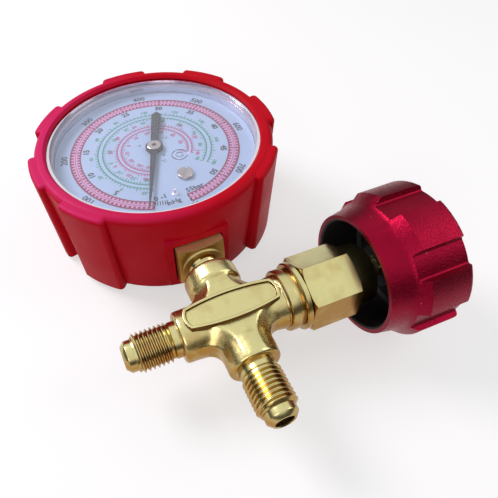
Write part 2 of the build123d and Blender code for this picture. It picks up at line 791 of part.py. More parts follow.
def flare_port(turned):
    """Turned collar, relief, thread and flared nose of one port, at negative places."""
    relief_end = port_shoulder + relief_length
    flare = nose_r - port_land_r
    turned([(-left_arm_end + 3 * overshoot, 0), (-left_arm_end + 3 * overshoot, collar_r),
            (-port_shoulder + turned_break, collar_r), (-port_shoulder, collar_r - turned_break),
            (-port_shoulder, relief_r), (-relief_end + thread_r - relief_r, relief_r),
            (-relief_end, thread_r), (-thread_end + thread_chamfer, thread_r),
            (-thread_end, nose_r), (-port_tip + flare, nose_r),
            (-port_tip, port_land_r), (-port_tip, 0)])


def plate_outline(shrink):
    """Outline of the raised plate: two long bows with rounded ends."""
    half = plate_half_long - shrink
    wide = plate_half_wide - shrink
    end_y = plate_end_half - shrink
    end_x = half - plate_end_bow
    with BuildSketch(Plane.XY.offset(axis_height)) as outline:
        with BuildLine():
            ThreePointArc((-end_x, end_y), (0, wide), (end_x, end_y))
            ThreePointArc((end_x, end_y), (half, 0), (end_x, -end_y))
            ThreePointArc((end_x, -end_y), (0, -wide), (-end_x, -end_y))
            ThreePointArc((-end_x, -end_y), (-half, 0), (-end_x, end_y))
        make_face()
    return outline.sketch.moved(Location((0, -axis_drop, 0)))


with BuildPart() as manifold_body:
    with BuildSketch(Plane.XY.offset(axis_height - arm_flat / 2)):
        with Locations(((valve_arm_end - left_arm_end) / 2, -axis_drop)):
            Rectangle(valve_arm_end + left_arm_end, arm_flat)
        with Locations((0, (gauge_arm_end - front_arm_end) / 2 - axis_drop)):
            Rectangle(arm_flat, gauge_arm_end + front_arm_end)
    extrude(amount=arm_flat)
    inner_corners = manifold_body.edges().filter_by(Axis.Z).filter_by(
        lambda e: abs(abs(e.center().X) - arm_flat / 2) < 0.01
        and abs(abs(e.center().Y + axis_drop) - arm_flat / 2) < 0.01)
    fillet(inner_corners, arm_fillet)
    ends = (-left_arm_end, valve_arm_end)
    sides = (-front_arm_end - axis_drop, gauge_arm_end - axis_drop)
    long_edges = (manifold_body.faces().filter_by(Axis.Z).edges().filter_by(
        lambda e: min(abs(e.center().X - x) for x in ends) > 0.01
        and min(abs(e.center().Y - y) for y in sides) > 0.01))
    chamfer(long_edges, arm_chamfer)
    flare_port(turn_valve)
    flare_port(turn_port)
    turn_port([(gauge_arm_end - arm_fillet, 0), (gauge_root, gauge_root_r),
               (gauge_root + gauge_boss_r - gauge_root_r, gauge_boss_r),
               (gauge_boss_end - turned_break, gauge_boss_r),
               (gauge_boss_end, gauge_boss_r - turned_break), (gauge_boss_end, 0)])
    turn_valve([(valve_arm_end - arm_fillet, 0), (valve_root, valve_root_r),
                (ring_one_start - turned_break, ring_one_root_r),
                (ring_one_start, ring_one_r - sharp_break),
                (ring_one_start + sharp_break, ring_one_r),
                (ring_one_end - sharp_break, ring_one_r),
                (ring_one_end, ring_one_r - sharp_break),
                (ring_one_end + sharp_break, ring_groove_r),
                (ring_two_start, ring_groove_r),
                (ring_two_start + sharp_break, ring_two_r - sharp_break),
                (ring_two_start + 2 * sharp_break, ring_two_r),
                (valve_arm_face - sharp_break, ring_two_r),
                (valve_arm_face, ring_two_r - sharp_break), (valve_arm_face, 0)])
    with Locations(Location((0, 0, plate_under))):
        add(extrude(plate_outline(-plate_skirt), amount=plate_face - plate_under,
                    taper=plate_slope, mode=Mode.PRIVATE))
    with Locations(Location((0, 0, plate_face))):
        add(extrude(plate_outline(0), amount=plate_rim, mode=Mode.PRIVATE))
        add(extrude(plate_outline(plate_rim_wide), amount=plate_rim, mode=Mode.PRIVATE),
            mode=Mode.SUBTRACT)
    turn_valve([(-port_tip - overshoot, 0), (-port_tip - overshoot, port_bore_r), (0, port_bore_r), (0, 0)],
               mode=Mode.SUBTRACT)
    turn_port([(-port_tip - overshoot, 0), (-port_tip - overshoot, port_bore_r), (0, port_bore_r), (0, 0)],
              mode=Mode.SUBTRACT)
    socket_hole_r = socket_thread_r + running_gap
    gauge_cut = gauge_boss_end + overshoot
    turn_port([(0, 0), (0, socket_bore_r), (socket_thread_end - turned_break, socket_bore_r),
               (socket_thread_end - turned_break, socket_hole_r),
               (gauge_boss_end - gauge_bore_chamfer, socket_hole_r),
               (gauge_boss_end, socket_hole_r + gauge_bore_chamfer),
               (gauge_cut, socket_hole_r + gauge_bore_chamfer), (gauge_cut, 0)],
              mode=Mode.SUBTRACT)
    nut_hole_start = nut_thread_start - fit_gap
    valve_cut = valve_arm_face + overshoot
    turn_valve([(0, 0), (0, seat_bore_r), (valve_seat, seat_bore_r), (valve_seat, chamber_r),
                (nut_hole_start, chamber_r), (nut_hole_start, nut_thread_r),
                (valve_cut, nut_thread_r), (valve_cut, 0)], mode=Mode.SUBTRACT)
write(manifold_body.part, "manifold_body")

# ================================================================ packing nut and valve
corner_r = nut_flats / sqrt(3)
nut_start = valve_arm_face + fit_gap
bevel = (corner_r - nut_chamfer_r) * tan(radians(nut_chamfer_slope))
outside_r = corner_r + overshoot

with BuildPart() as packing_nut:
    with BuildSketch(square_to_valve(nut_start)):
        RegularPolygon(corner_r, 6, rotation=nut_turn)
    extrude(amount=nut_end - nut_start)
    turn_valve([(nut_start - overshoot, nut_chamfer_r), (nut_start, nut_chamfer_r),
                (nut_start + bevel, corner_r), (nut_start + bevel, outside_r),
                (nut_start - overshoot, outside_r)], mode=Mode.SUBTRACT)
    turn_valve([(nut_end + overshoot, nut_chamfer_r), (nut_end, nut_chamfer_r),
                (nut_end - bevel, corner_r), (nut_end - bevel, outside_r),
                (nut_end + overshoot, outside_r)], mode=Mode.SUBTRACT)
    turn_valve([(nut_end - overshoot, 0), (nut_end - overshoot, nut_collar_r),
                (nut_collar_end - turned_break, nut_collar_r),
                (nut_collar_end, nut_collar_r - turned_break), (nut_collar_end, 0)])
    turn_valve([(nut_thread_start, 0), (nut_thread_start, nut_thread_r - turned_break),
                (nut_thread_start + turned_break, nut_thread_r - running_gap),
                (nut_start, nut_thread_r - running_gap), (nut_start + overshoot, 0)])
    turn_valve([(nut_thread_start - overshoot, 0), (nut_thread_start - overshoot, packing_r),
                (packing_end, packing_r), (packing_end, stem_r + running_gap),
                (nut_collar_end + overshoot, stem_r + running_gap),
                (nut_collar_end + overshoot, 0)], mode=Mode.SUBTRACT)
write(packing_nut.part, "packing_nut")

with BuildPart() as stem_o_rings:
    for k in range(2):
        with BuildSketch(along_valve) as bead:
            with Locations((ring_first + k * ring_space, stem_r + running_gap + ring_minor)):
                Circle(ring_minor)
        revolve(bead.sketch, axis=valve_axis)
write(stem_o_rings.part, "stem_o_rings")

with BuildPart() as gland_washer:
    turn_valve([(gland_start, stem_r + running_gap), (gland_start, packing_r - running_gap),
                (gland_start + gland_thick, packing_r - running_gap),
                (gland_start + gland_thick, stem_r + running_gap)])
write(gland_washer.part, "gland_washer")

with BuildPart() as valve_stem:
    turn_valve([(stem_start, 0), (stem_start, seat_disc_r),
                (stem_start + stem_collar_r - seat_disc_r, stem_collar_r),
                (stem_collar_end, stem_collar_r), (stem_collar_end, stem_r),
                (stem_round_end, stem_r), (stem_round_end, 0)])
    with BuildSketch(square_to_valve(stem_round_end)):
        Rectangle(stem_square, stem_square)
    extrude(amount=stem_end - stem_round_end)
    turn_valve([(stem_start - overshoot, 0), (stem_start - overshoot, seat_stub_r + running_gap),
                (seat_stub_end + fit_gap, seat_stub_r + running_gap),
                (seat_stub_end + fit_gap, 0)], mode=Mode.SUBTRACT)
    turn_valve([(knob_screw_depth - fit_gap, 0), (knob_screw_depth - fit_gap, knob_screw_r),
                (stem_end + overshoot, knob_screw_r), (stem_end + overshoot, 0)],
               mode=Mode.SUBTRACT)
write(valve_stem.part, "valve_stem")

with BuildPart() as seat_disc:
    turn_valve([(seat_disc_start, 0), (seat_disc_start, seat_disc_r),
                (stem_start - fit_gap, seat_disc_r), (stem_start - fit_gap, seat_stub_r),
                (seat_stub_end, seat_stub_r), (seat_stub_end, 0)])
write(seat_disc.part, "seat_disc")

# ================================================================ knob
flute_pitch = 360 / lobe_count
flute_half = (flute_pitch - lobe_angle) / 2

with BuildPart() as knob:
    turn_valve([(knob_mouth, 0), (knob_mouth, knob_mouth_r), (knob_skirt_end, knob_skirt_r),
                (grip_start, grip_r), (knob_end, grip_r), (knob_end, 0)])
    fillet(knob.edges().filter_by(GeomType.CIRCLE).sort_by(Axis.X)[-1], knob_end_round)
    with BuildPart(mode=Mode.PRIVATE) as flutes:
        for k in range(lobe_count):
            start = lobe_turn + flute_pitch * (k + 0.5) - flute_half
            with BuildSketch(square_to_valve(flute_start)):
                with BuildLine():
                    floor = CenterArc((0, 0), flute_r, start, 2 * flute_half)
                    top = CenterArc((0, 0), grip_r + flute_flare, start - flute_flare,
                                    2 * (flute_half + flute_flare))
                    Line(floor @ 0, top @ 0)
                    Line(floor @ 1, top @ 1)
                make_face()
            extrude(amount=knob_end - flute_start + overshoot)
        fillet(flutes.edges().filter_by(Axis.X).filter_by(
            lambda e: hypot(e.center().Y + axis_drop, e.center().Z - axis_height) < grip_r),
            flute_round)
    add(flutes.part, mode=Mode.SUBTRACT)
    hollow_mouth_r = knob_bore_r + knob_mouth_break
    turn_valve([(knob_mouth - overshoot, knob_hub_r), (knob_mouth - overshoot, hollow_mouth_r),
                (knob_mouth, hollow_mouth_r), (knob_mouth + knob_mouth_break, knob_bore_r),
                (knob_web - overshoot, knob_bore_r), (knob_web, knob_bore_r - overshoot),
                (knob_web, knob_hub_r)], mode=Mode.SUBTRACT)
    turn_valve([(knob_mouth - overshoot, 0), (knob_mouth - overshoot, knob_hub_r + overshoot),
                (knob_hub_start, knob_hub_r + overshoot), (knob_hub_start, 0)],
               mode=Mode.SUBTRACT)
    turn_valve([(recess_floor, 0), (recess_floor, recess_r), (knob_end + overshoot, recess_r),
                (knob_end + overshoot, 0)], mode=Mode.SUBTRACT)
    with BuildSketch(square_to_valve(knob_hub_start - overshoot)):
        Rectangle(stem_square + 2 * running_gap, stem_square + 2 * running_gap)
    extrude(amount=recess_floor - knob_hub_start + 2 * overshoot, mode=Mode.SUBTRACT)
write(knob.part, "knob")

with BuildPart() as knob_washer:
    turn_valve([(recess_floor, knob_screw_r + fit_gap), (recess_floor, washer_r),
                (recess_floor + washer_thick, washer_r),
                (recess_floor + washer_thick, knob_screw_r + fit_gap)])
write(knob_washer.part, "knob_washer")

screw_seat = recess_floor + washer_thick
screw_top = screw_seat + knob_screw_head

with BuildPart() as knob_screw:
    turn_valve([(knob_screw_depth, 0), (knob_screw_depth, knob_screw_r),
                (screw_seat, knob_screw_r), (screw_seat, knob_screw_head_r),
                (screw_top - turned_break, knob_screw_head_r),
                (screw_top, knob_screw_head_r - turned_break), (screw_top, 0)])
    with BuildSketch(square_to_valve(screw_seat + knob_screw_head / 2)):
        Rectangle(cross_slot, cross_length)
        Rectangle(cross_length, cross_slot)
    extrude(amount=knob_screw_head, mode=Mode.SUBTRACT)
write(knob_screw.part, "knob_screw")

with BuildPart() as knob_cap:
    turn_valve([(knob_end - cap_plate, 0), (knob_end - cap_plate, recess_r), (knob_end, recess_r),
                (knob_end, 0)])
write(knob_cap.part, "knob_cap")
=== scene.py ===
from math import atan2, ceil, cos, pi, radians, sin

import bmesh
import bpy
from bpy.props import FloatProperty, FloatVectorProperty, PointerProperty
from mathutils import Matrix, Vector


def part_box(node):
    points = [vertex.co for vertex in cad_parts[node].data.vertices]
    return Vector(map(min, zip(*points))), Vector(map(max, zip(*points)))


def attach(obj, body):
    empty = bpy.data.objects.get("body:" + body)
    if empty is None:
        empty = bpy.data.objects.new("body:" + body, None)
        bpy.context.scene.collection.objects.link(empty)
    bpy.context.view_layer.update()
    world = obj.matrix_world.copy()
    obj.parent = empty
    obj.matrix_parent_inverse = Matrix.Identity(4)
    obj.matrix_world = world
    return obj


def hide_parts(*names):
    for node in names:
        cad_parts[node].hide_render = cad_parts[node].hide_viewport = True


# The looks of a refrigerant manifold gauge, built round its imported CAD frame. Lengths written
# with MM are real millimetres; everything in the scene is in metres, in the frame's own place.
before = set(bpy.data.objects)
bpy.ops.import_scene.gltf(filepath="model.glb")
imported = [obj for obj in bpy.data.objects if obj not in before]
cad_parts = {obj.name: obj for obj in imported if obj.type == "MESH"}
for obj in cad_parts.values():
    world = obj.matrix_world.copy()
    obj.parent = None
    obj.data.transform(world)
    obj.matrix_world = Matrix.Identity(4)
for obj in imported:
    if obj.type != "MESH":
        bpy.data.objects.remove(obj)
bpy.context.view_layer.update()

bl_info = {
    "name": "Refrigerant Manifold Gauge",
    "version": (1, 0, 0),
    "blender": (4, 5, 0),
    "location": "View3D > Sidebar > Manifold Gauge",
    "description": "Builds the looks of a brass manifold with a booted pressure gauge",
    "category": "Object",
}

MM = 0.001
X_AXIS, Y_AXIS, Z_AXIS = Vector((1, 0, 0)), Vector((0, 1, 0)), Vector((0, 0, 1))
CROSSING = Vector((0, -62.3, 14.0)) * MM        # where the manifold's arms cross
MAIN_BODY = "gauge_and_manifold"


def linear(code):
    """An sRGB hex colour as linear red, green, blue and alpha."""
    parts = [int(code[k:k + 2], 16) / 255 for k in (1, 3, 5)]
    return tuple(p / 12.92 if p <= 0.04045 else ((p + 0.055) / 1.055) ** 2.4
                 for p in parts) + (1.0,)


# ================================================================ sizes and colours
def length(name, description, millimetres):
    return FloatProperty(name=name, description=description, default=millimetres * MM,
                         min=0.0, subtype="DISTANCE", unit="LENGTH", precision=5)


def colour(name, description, code):
    return FloatVectorProperty(name=name, description=description, default=linear(code),
                               size=4, min=0.0, max=1.0, subtype="COLOR")


class GaugeSizes(bpy.types.PropertyGroup):
    port_pitch: length("Port thread pitch", "Pitch of the 7/16-20 flare threads", 1.27)
    port_root: length("Port thread root", "Radius at the root of the flare threads", 4.78)
    neck_pitch: length("Neck thread pitch", "Pitch of the gauge socket's thread", 1.1)
    neck_root: length("Neck thread root", "Radius at the root of the socket's thread", 4.2)
    forging_voxel: length("Forging grain", "Cell that the forged body is remeshed at", 0.3)
    plate_rim: length("Plate rim", "Width of the raised rim round the plate", 0.8)
    nut_break: length("Nut edge break", "Rounding of the packing nut's edges", 0.22)
    knob_break: length("Knob edge break", "Rounding of the knob's edges", 0.5)
    boot_break: length("Boot edge break", "Rounding of the boot's moulded edges", 0.5)
    outer_figures: length("Outer figures", "Height of the dial's outer numbers", 3.0)
    inner_figures: length("Inner figures", "Height of the dial's inner numbers", 2.7)
    scale_figures: length("Temperature figures", "Height of the temperature numbers", 1.8)


class GaugeColours(bpy.types.PropertyGroup):
    # painted highlight: the pink laid on the boot's upper left faces in place of a gleam of light
    boot_bloom: colour("Boot painted sheen", "Pinkish painted highlight on the boot's upper left faces", "#DC3078")
    boot_red: colour("Boot", "Red of the moulded boot", "#C80A20")
    knob_red: colour("Knob", "Dye of the anodised knob", "#800A26")
    # painted light: the colour of upward faces, paler as if lit from above, and of pale patches
    brass_pale: colour("Brass, bright", "Brass on upward faces, painted as lit from above, and in pale patches", "#D2CA90")
    # painted shade: the colour of side faces, warmer as if less lit, and of warm patches
    brass_warm: colour("Brass, warm", "Brass on side faces, painted as less lit, and in warm patches", "#A87C36")
    # painted shade: the dark brass laid on the raised plate's steep walls
    brass_deep: colour("Brass, deep", "Brass where it is darkest, in its hollows", "#6B4718")
    dial_blue: colour("Dial", "Enamel of the dial", "#B4D0E8")
    band_pink: colour("Band", "Tint of the pressure band", "#E3A6D2")
    band_magenta: colour("Pressure scale", "Ink of the pressure scale", "#8A144E")
    scale_teal: colour("Outer temperature scale", "Ink of the green scale", "#2A9C86")
    scale_pink: colour("Inner temperature scale", "Ink of the pink scale", "#BC4C88")
    ink: colour("Figures", "Ink of the numbers", "#22344C")
    pointer_blue: colour("Pointer", "Paint of the pointer", "#10162C")


# ================================================================ materials
def blank(name):
    """A new material with an empty node tree, and that tree."""
    material = bpy.data.materials.new(name)
    material.use_nodes = True
    material.node_tree.nodes.clear()
    return material, material.node_tree


def add(tree, kind, inputs=None, **settings):
    """Adds a node with its settings, and its inputs as values or as sockets to link."""
    made = tree.nodes.new(kind)
    for key, value in settings.items():
        setattr(made, key, value)
    for key, value in (inputs or {}).items():
        if isinstance(value, bpy.types.NodeSocket):
            tree.links.new(value, made.inputs[key])
        else:
            made.inputs[key].default_value = value
    return made


def shown(material, tree, surface):
    add(tree, "ShaderNodeOutputMaterial", {"Surface": surface})
    return material


def noise(tree, place, size_mm, detail):
    """Adds a noise whose patches are about size_mm millimetres wide."""
    return add(tree, "ShaderNodeTexNoise",
               {"Vector": place, "Scale": 1 / (size_mm * MM), "Detail": detail})


def spread(tree, value, seen, wanted):
    """Adds a map from one range of values to another."""
    return add(tree, "ShaderNodeMapRange", {"Value": value, "From Min": seen[0],
                                           "From Max": seen[1], "To Min": wanted[0],
                                           "To Max": wanted[1]})


def bump(tree, height, strength, deep_mm, normal=None):
    """Adds relief of a real depth in millimetres, on top of another relief if one is given."""
    inputs = {"Height": height, "Strength": strength, "Distance": deep_mm * MM}
    if normal is not None:
        inputs["Normal"] = normal
    return add(tree, "ShaderNodeBump", inputs)


def blend(tree, share, first, second):
    """Adds a mix of two colours."""
    return add(tree, "ShaderNodeMix", {0: share, 6: first, 7: second}, data_type="RGBA")


def reckon(tree, operation, first, second):
    """Adds a sum on two values."""
    return add(tree, "ShaderNodeMath", {0: first, 1: second}, operation=operation)


def moulded_pvc(colours):
    # Soft PVC, injection moulded: a deep satin red whose fine spark-eroded grain breaks up the
    # highlights, with broad faint sink waves and slightly duller patches from handling. A pink
    # painted highlight lies on its upward faces, strongest towards its left side.
    material, tree = blank("moulded_soft_pvc")
    place = add(tree, "ShaderNodeTexCoord").outputs["Object"]
    cloud = noise(tree, place, 9, 3.0)
    grain = noise(tree, place, 0.35, 2.0)
    wave = noise(tree, place, 7, 1.0)
    red = colours.boot_red
    deep = [c * 0.88 for c in red[:3]] + [1.0]
    tint = blend(tree, cloud.outputs["Fac"], list(red), deep)
    front = add(tree, "ShaderNodeSeparateXYZ",
                {"Vector": add(tree, "ShaderNodeTexCoord").outputs["Normal"]})
    facing = spread(tree, front.outputs["Z"], (0.3, 0.9), (0.0, 1.0))
    across = add(tree, "ShaderNodeSeparateXYZ", {"Vector": place})
    left_share = spread(tree, across.outputs["X"], (8 * MM, -34 * MM), (0.0, 0.65))
    # painted highlight: pink on the upward faces, growing towards the left side
    sheen_mask = add(tree, "ShaderNodeMath", {0: facing.outputs["Result"], 1: left_share.outputs["Result"]},
                operation="MULTIPLY", use_clamp=True)
    tint = blend(tree, sheen_mask.outputs["Value"], tint.outputs[2], list(colours.boot_bloom))
    dull = spread(tree, cloud.outputs["Fac"], (0.3, 0.7), (0.36, 0.48))
    sunk = bump(tree, wave.outputs["Fac"], 0.5, 0.12)
    rough = bump(tree, grain.outputs["Fac"], 0.35, 0.03, sunk.outputs["Normal"])
    skin = add(tree, "ShaderNodeBsdfPrincipled", {
        "Base Color": tint.outputs[2], "Roughness": dull.outputs["Result"], "IOR": 1.53,
        "Specular IOR Level": 0.06, "Normal": rough.outputs["Normal"]})
    return shown(material, tree, skin.outputs["BSDF"])


def brass_tone(tree, colours, mottle):
    """Brass painted pale on its upward faces as if lit from above and warm on its sides as painted
    shade, varied in patches.
    """
    front = add(tree, "ShaderNodeSeparateXYZ",
                {"Vector": add(tree, "ShaderNodeTexCoord").outputs["Normal"]})
    # painted light: upward faces are paler, as if lit from above
    lean = spread(tree, front.outputs["Z"], (0.15, 0.95), (0.0, 1.0))
    patch = spread(tree, mottle, (0.3, 0.7), (-0.25, 0.25))
    top_light_and_patches = add(tree, "ShaderNodeMath", {0: lean.outputs["Result"], 1: patch.outputs["Result"]},
                 operation="ADD", use_clamp=True)
    tint = blend(tree, top_light_and_patches.outputs["Value"], list(colours.brass_warm), list(colours.brass_pale))
    return tint.outputs[2]


def forged_brass(colours):
    # Brass forged hot in a die and tumbled: soft rippled faces, painted pale on its upward faces
    # as if lit from above and golden down the sides as painted shade, with a fine tumbled grain
    # that spreads each reflection a little.
    material, tree = blank("forged_tumbled_brass")
    place = add(tree, "ShaderNodeTexCoord").outputs["Object"]
    ripple = noise(tree, place, 5, 2.0)
    grain = noise(tree, place, 0.4, 3.0)
    tint = brass_tone(tree, colours, ripple.outputs["Fac"])
    dull = spread(tree, grain.outputs["Fac"], (0.3, 0.7), (0.22, 0.36))
    swell = bump(tree, ripple.outputs["Fac"], 0.6, 0.35)
    fine = bump(tree, grain.outputs["Fac"], 0.25, 0.03, swell.outputs["Normal"])
    skin = add(tree, "ShaderNodeBsdfPrincipled", {
        "Base Color": tint, "Metallic": 1.0, "Roughness": dull.outputs["Result"],
        "Normal": fine.outputs["Normal"]})
    return shown(material, tree, skin.outputs["BSDF"])


def turned_brass(colours, name, along, centre, dullness=0.22):
    # Brass bar turned on a lathe: fine feed rings across the turned faces and along the turned
    # lengths, which draw each highlight out. The real feed of 0.1 mm is drawn at 0.3 mm.
    material, tree = blank(name)
    place = add(tree, "ShaderNodeTexCoord").outputs["Object"]
    feed_scale = 0.314 / (2 * pi * 0.3 * MM)
    centred = add(tree, "ShaderNodeMapping", {"Vector": place, "Location": -centre})
    rings, bands = (add(tree, "ShaderNodeTexWave", {
        "Vector": centred.outputs["Vector"], "Scale": feed_scale,
        "Distortion": 0.4, "Detail": 1.0}, wave_type=kind, **{kind.lower() + "_direction": along})
                    for kind in ("RINGS", "BANDS"))
    feed = reckon(tree, "ADD", rings.outputs["Fac"], bands.outputs["Fac"])
    tone = noise(tree, place, 6, 2.0)
    # painted light: pale on upward faces, golden on the sides, as on the forged brass
    tint = brass_tone(tree, colours, tone.outputs["Fac"])
    cut = bump(tree, feed.outputs["Value"], 0.2, 0.02)
    skin = add(tree, "ShaderNodeBsdfPrincipled", {
        "Base Color": tint, "Metallic": 1.0, "Roughness": dullness,
        "Normal": cut.outputs["Normal"]})
    return shown(material, tree, skin.outputs["BSDF"])


def anodised_aluminium(colours):
    # Aluminium bead-blasted and dyed red in the anodising bath: a metal whose reflection is
    # crimson, glittering where the blasted grain faces the light, with a few specks of dust.
    material, tree = blank("blasted_anodised_aluminium")
    place = add(tree, "ShaderNodeTexCoord").outputs["Object"]
    grain = noise(tree, place, 0.5, 3.0)
    cells = add(tree, "ShaderNodeTexVoronoi", {"Vector": place, "Scale": 1 / (2.6 * MM)})
    dust = reckon(tree, "LESS_THAN", cells.outputs["Distance"], 0.035)
    cloud = noise(tree, place, 8, 2.0)
    red = colours.knob_red
    bright = [min(1.0, c * 1.35 + 0.002) for c in red[:3]] + [1.0]
    tint = blend(tree, cloud.outputs["Fac"], list(red), bright)
    dusted = blend(tree, dust.outputs["Value"], tint.outputs[2], linear("#E8B8C0"))
    dull = spread(tree, grain.outputs["Fac"], (0.35, 0.65), (0.28, 0.48))
    blast = bump(tree, grain.outputs["Fac"], 0.9, 0.12)
    skin = add(tree, "ShaderNodeBsdfPrincipled", {
        "Base Color": dusted.outputs[2], "Metallic": 1.0, "Roughness": dull.outputs["Result"],
        "Normal": blast.outputs["Normal"]})
    return shown(material, tree, skin.outputs["BSDF"])


def plain_finish(name, code, metallic, roughness, mottle_mm, relief_mm, ior=1.5):
    """A material of one colour, mottled and roughened at a real size in millimetres."""
    material, tree = blank(name)
    place = add(tree, "ShaderNodeTexCoord").outputs["Object"]
    mottle = noise(tree, place, mottle_mm, 3.0)
    light = linear(code) if isinstance(code, str) else code
    dark = [c * 0.82 for c in light[:3]] + [1.0]
    tint = blend(tree, mottle.outputs["Fac"], list(light), dark)
    dull = add(tree, "ShaderNodeMapRange", {
        "Value": mottle.outputs["Fac"], "From Min": 0.3, "From Max": 0.7,
        "To Min": roughness * 0.85, "To Max": min(1.0, roughness * 1.15)})
    relief = bump(tree, mottle.outputs["Fac"], 0.4, relief_mm)
    skin = add(tree, "ShaderNodeBsdfPrincipled", {
        "Base Color": tint.outputs[2], "Metallic": metallic, "IOR": ior,
        "Roughness": dull.outputs["Result"], "Normal": relief.outputs["Normal"]})
    return shown(material, tree, skin.outputs["BSDF"])


def clear_polycarbonate():
    # Polycarbonate, injection moulded clear: sharp reflections and a faint cool cast. Lamps and
    # the light of the room pass straight through it, so that the dial is lit as if it were open.
    material, tree = blank("moulded_clear_polycarbonate")
    clear = add(tree, "ShaderNodeBsdfPrincipled", {
        "Base Color": linear("#FBFAFF"), "Roughness": 0.03, "IOR": 1.58,
        "Specular IOR Level": 0.3, "Transmission Weight": 1.0})
    open_air = add(tree, "ShaderNodeBsdfTransparent", {"Color": linear("#F8F7FD")})
    ray = add(tree, "ShaderNodeLightPath")
    passes = reckon(tree, "MAXIMUM", ray.outputs["Is Shadow Ray"], ray.outputs["Is Diffuse Ray"])
    pane = add(tree, "ShaderNodeMixShader", {0: passes.outputs["Value"],
                                            1: clear.outputs["BSDF"],
                                            2: open_air.outputs["BSDF"]})
    return shown(material, tree, pane.outputs["Shader"])


def printed_ink(name, tone):
    # Pad-printed ink on enamel: flat colour with a slight unevenness where the film is thin.
    material, tree = blank(name)
    place = add(tree, "ShaderNodeTexCoord").outputs["Object"]
    film = noise(tree, place, 0.8, 2.0)
    thin = [c * 0.85 + 0.06 for c in tone[:3]] + [1.0]
    tint = blend(tree, film.outputs["Fac"], list(tone), thin)
    skin = add(tree, "ShaderNodeBsdfPrincipled", {
        "Base Color": tint.outputs[2], "Roughness": 0.55, "IOR": 1.5})
    return shown(material, tree, skin.outputs["BSDF"])


def white_paper():
    # A roll of white background paper: even and matt. Seen straight on, in gloss or through the
    # lens it is white, and it keeps the object's shadow. From below it isn't there, and far
    # from the object it fades into the white room.
    material, tree = blank("rolled_white_paper")
    ray = add(tree, "ShaderNodeLightPath")
    side = add(tree, "ShaderNodeNewGeometry")
    seen = reckon(tree, "MAXIMUM", ray.outputs["Is Camera Ray"], ray.outputs["Is Glossy Ray"])
    either = reckon(tree, "MAXIMUM", seen.outputs["Value"], ray.outputs["Is Transmission Ray"])
    lift = reckon(tree, "MULTIPLY", either.outputs["Value"], 0.58)
    paper = add(tree, "ShaderNodeBsdfDiffuse", {"Color": linear("#B8B8B8")})
    glow = add(tree, "ShaderNodeEmission", {"Strength": lift.outputs["Value"]})
    lit = add(tree, "ShaderNodeAddShader", {0: paper.outputs["BSDF"],
                                           1: glow.outputs["Emission"]})
    away = add(tree, "ShaderNodeVectorMath",
               {0: add(tree, "ShaderNodeTexCoord").outputs["Object"]}, operation="LENGTH")
    fade = add(tree, "ShaderNodeMapRange", {"Value": away.outputs["Value"],
                                           "From Min": 230 * MM, "From Max": 430 * MM},
               interpolation_type="SMOOTHSTEP")
    absent = reckon(tree, "MAXIMUM", side.outputs["Backfacing"], fade.outputs["Result"])
    gone = add(tree, "ShaderNodeBsdfTransparent")
    surface = add(tree, "ShaderNodeMixShader", {0: absent.outputs["Value"],
                                               1: lit.outputs["Shader"],
                                               2: gone.outputs["BSDF"]})
    return shown(material, tree, surface.outputs["Shader"])


# ================================================================ building
def merged(node):
    """A bmesh copy of a CAD node whose loose triangles are joined into whole faces."""
    bm = bmesh.new()
    bm.from_mesh(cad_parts[node].data)
    bmesh.ops.remove_doubles(bm, verts=bm.verts, dist=0.001 * MM)
    bmesh.ops.dissolve_limit(bm, angle_limit=radians(0.6), verts=bm.verts, edges=bm.edges,
                             use_dissolve_boundaries=False)
    return bm


def soften(bm, width, angle=30.0, segments=2):
    """Rounds the edges where two faces meet at more than the angle."""
    sharp = [e for e in bm.edges
             if len(e.link_faces) == 2 and e.calc_face_angle(0.0) > radians(angle)]
    bmesh.ops.bevel(bm, geom=sharp, offset=width, offset_type="OFFSET", affect="EDGES",
                    segments=segments, profile=0.5, material=-1, clamp_overlap=True)


def lathe(bm, outline, centre, axis, out, closed=True, steps=96):
    """Turns an outline of (along, out) millimetres a full circle about an axis."""
    points = [bm.verts.new(centre + axis * a * MM + out * r * MM) for a, r in outline]
    pairs = list(zip(points, points[1:] + points[:1])) if closed else list(
        zip(points, points[1:]))
    edges = [bm.edges.new(pair) for pair in pairs]
    before = set(bm.faces)
    bmesh.ops.spin(bm, geom=points + edges, cent=centre, axis=axis, angle=2 * pi, steps=steps,
                   use_merge=True)
    bmesh.ops.remove_doubles(bm, verts=bm.verts, dist=0.0005 * MM)
    bmesh.ops.recalc_face_normals(bm, faces=[f for f in bm.faces if f not in before])


def piece(name, bm, materials, nodes=(), body=MAIN_BODY, sharp=35.0, even=True):
    """Makes an object of a bmesh, hangs it on the body it rides on, and hides the CAD nodes it stands in
    for.
    """
    mesh = bpy.data.meshes.new(name)
    bm.to_mesh(mesh)
    bm.free()
    for material in materials:
        mesh.materials.append(material)
    mesh.shade_smooth()
    mesh.set_sharp_from_angle(angle=radians(sharp))
    made = bpy.data.objects.new(name, mesh)
    bpy.context.scene.collection.objects.link(made)
    if even:
        flats = made.modifiers.new("even flats", "WEIGHTED_NORMAL")
        flats.keep_sharp = True
    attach(made, body)
    if nodes:
        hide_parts(*nodes)
    return made


def paint(material, *nodes):
    for node in nodes:
        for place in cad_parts[node].material_slots:
            place.material = material


def cylinder_place(co, axis):
    """A point's distance along an axis through the crossing and out from it, in millimetres."""
    offset = (co - CROSSING) / MM
    along = offset.dot(axis)
    return along, (offset - axis * along)


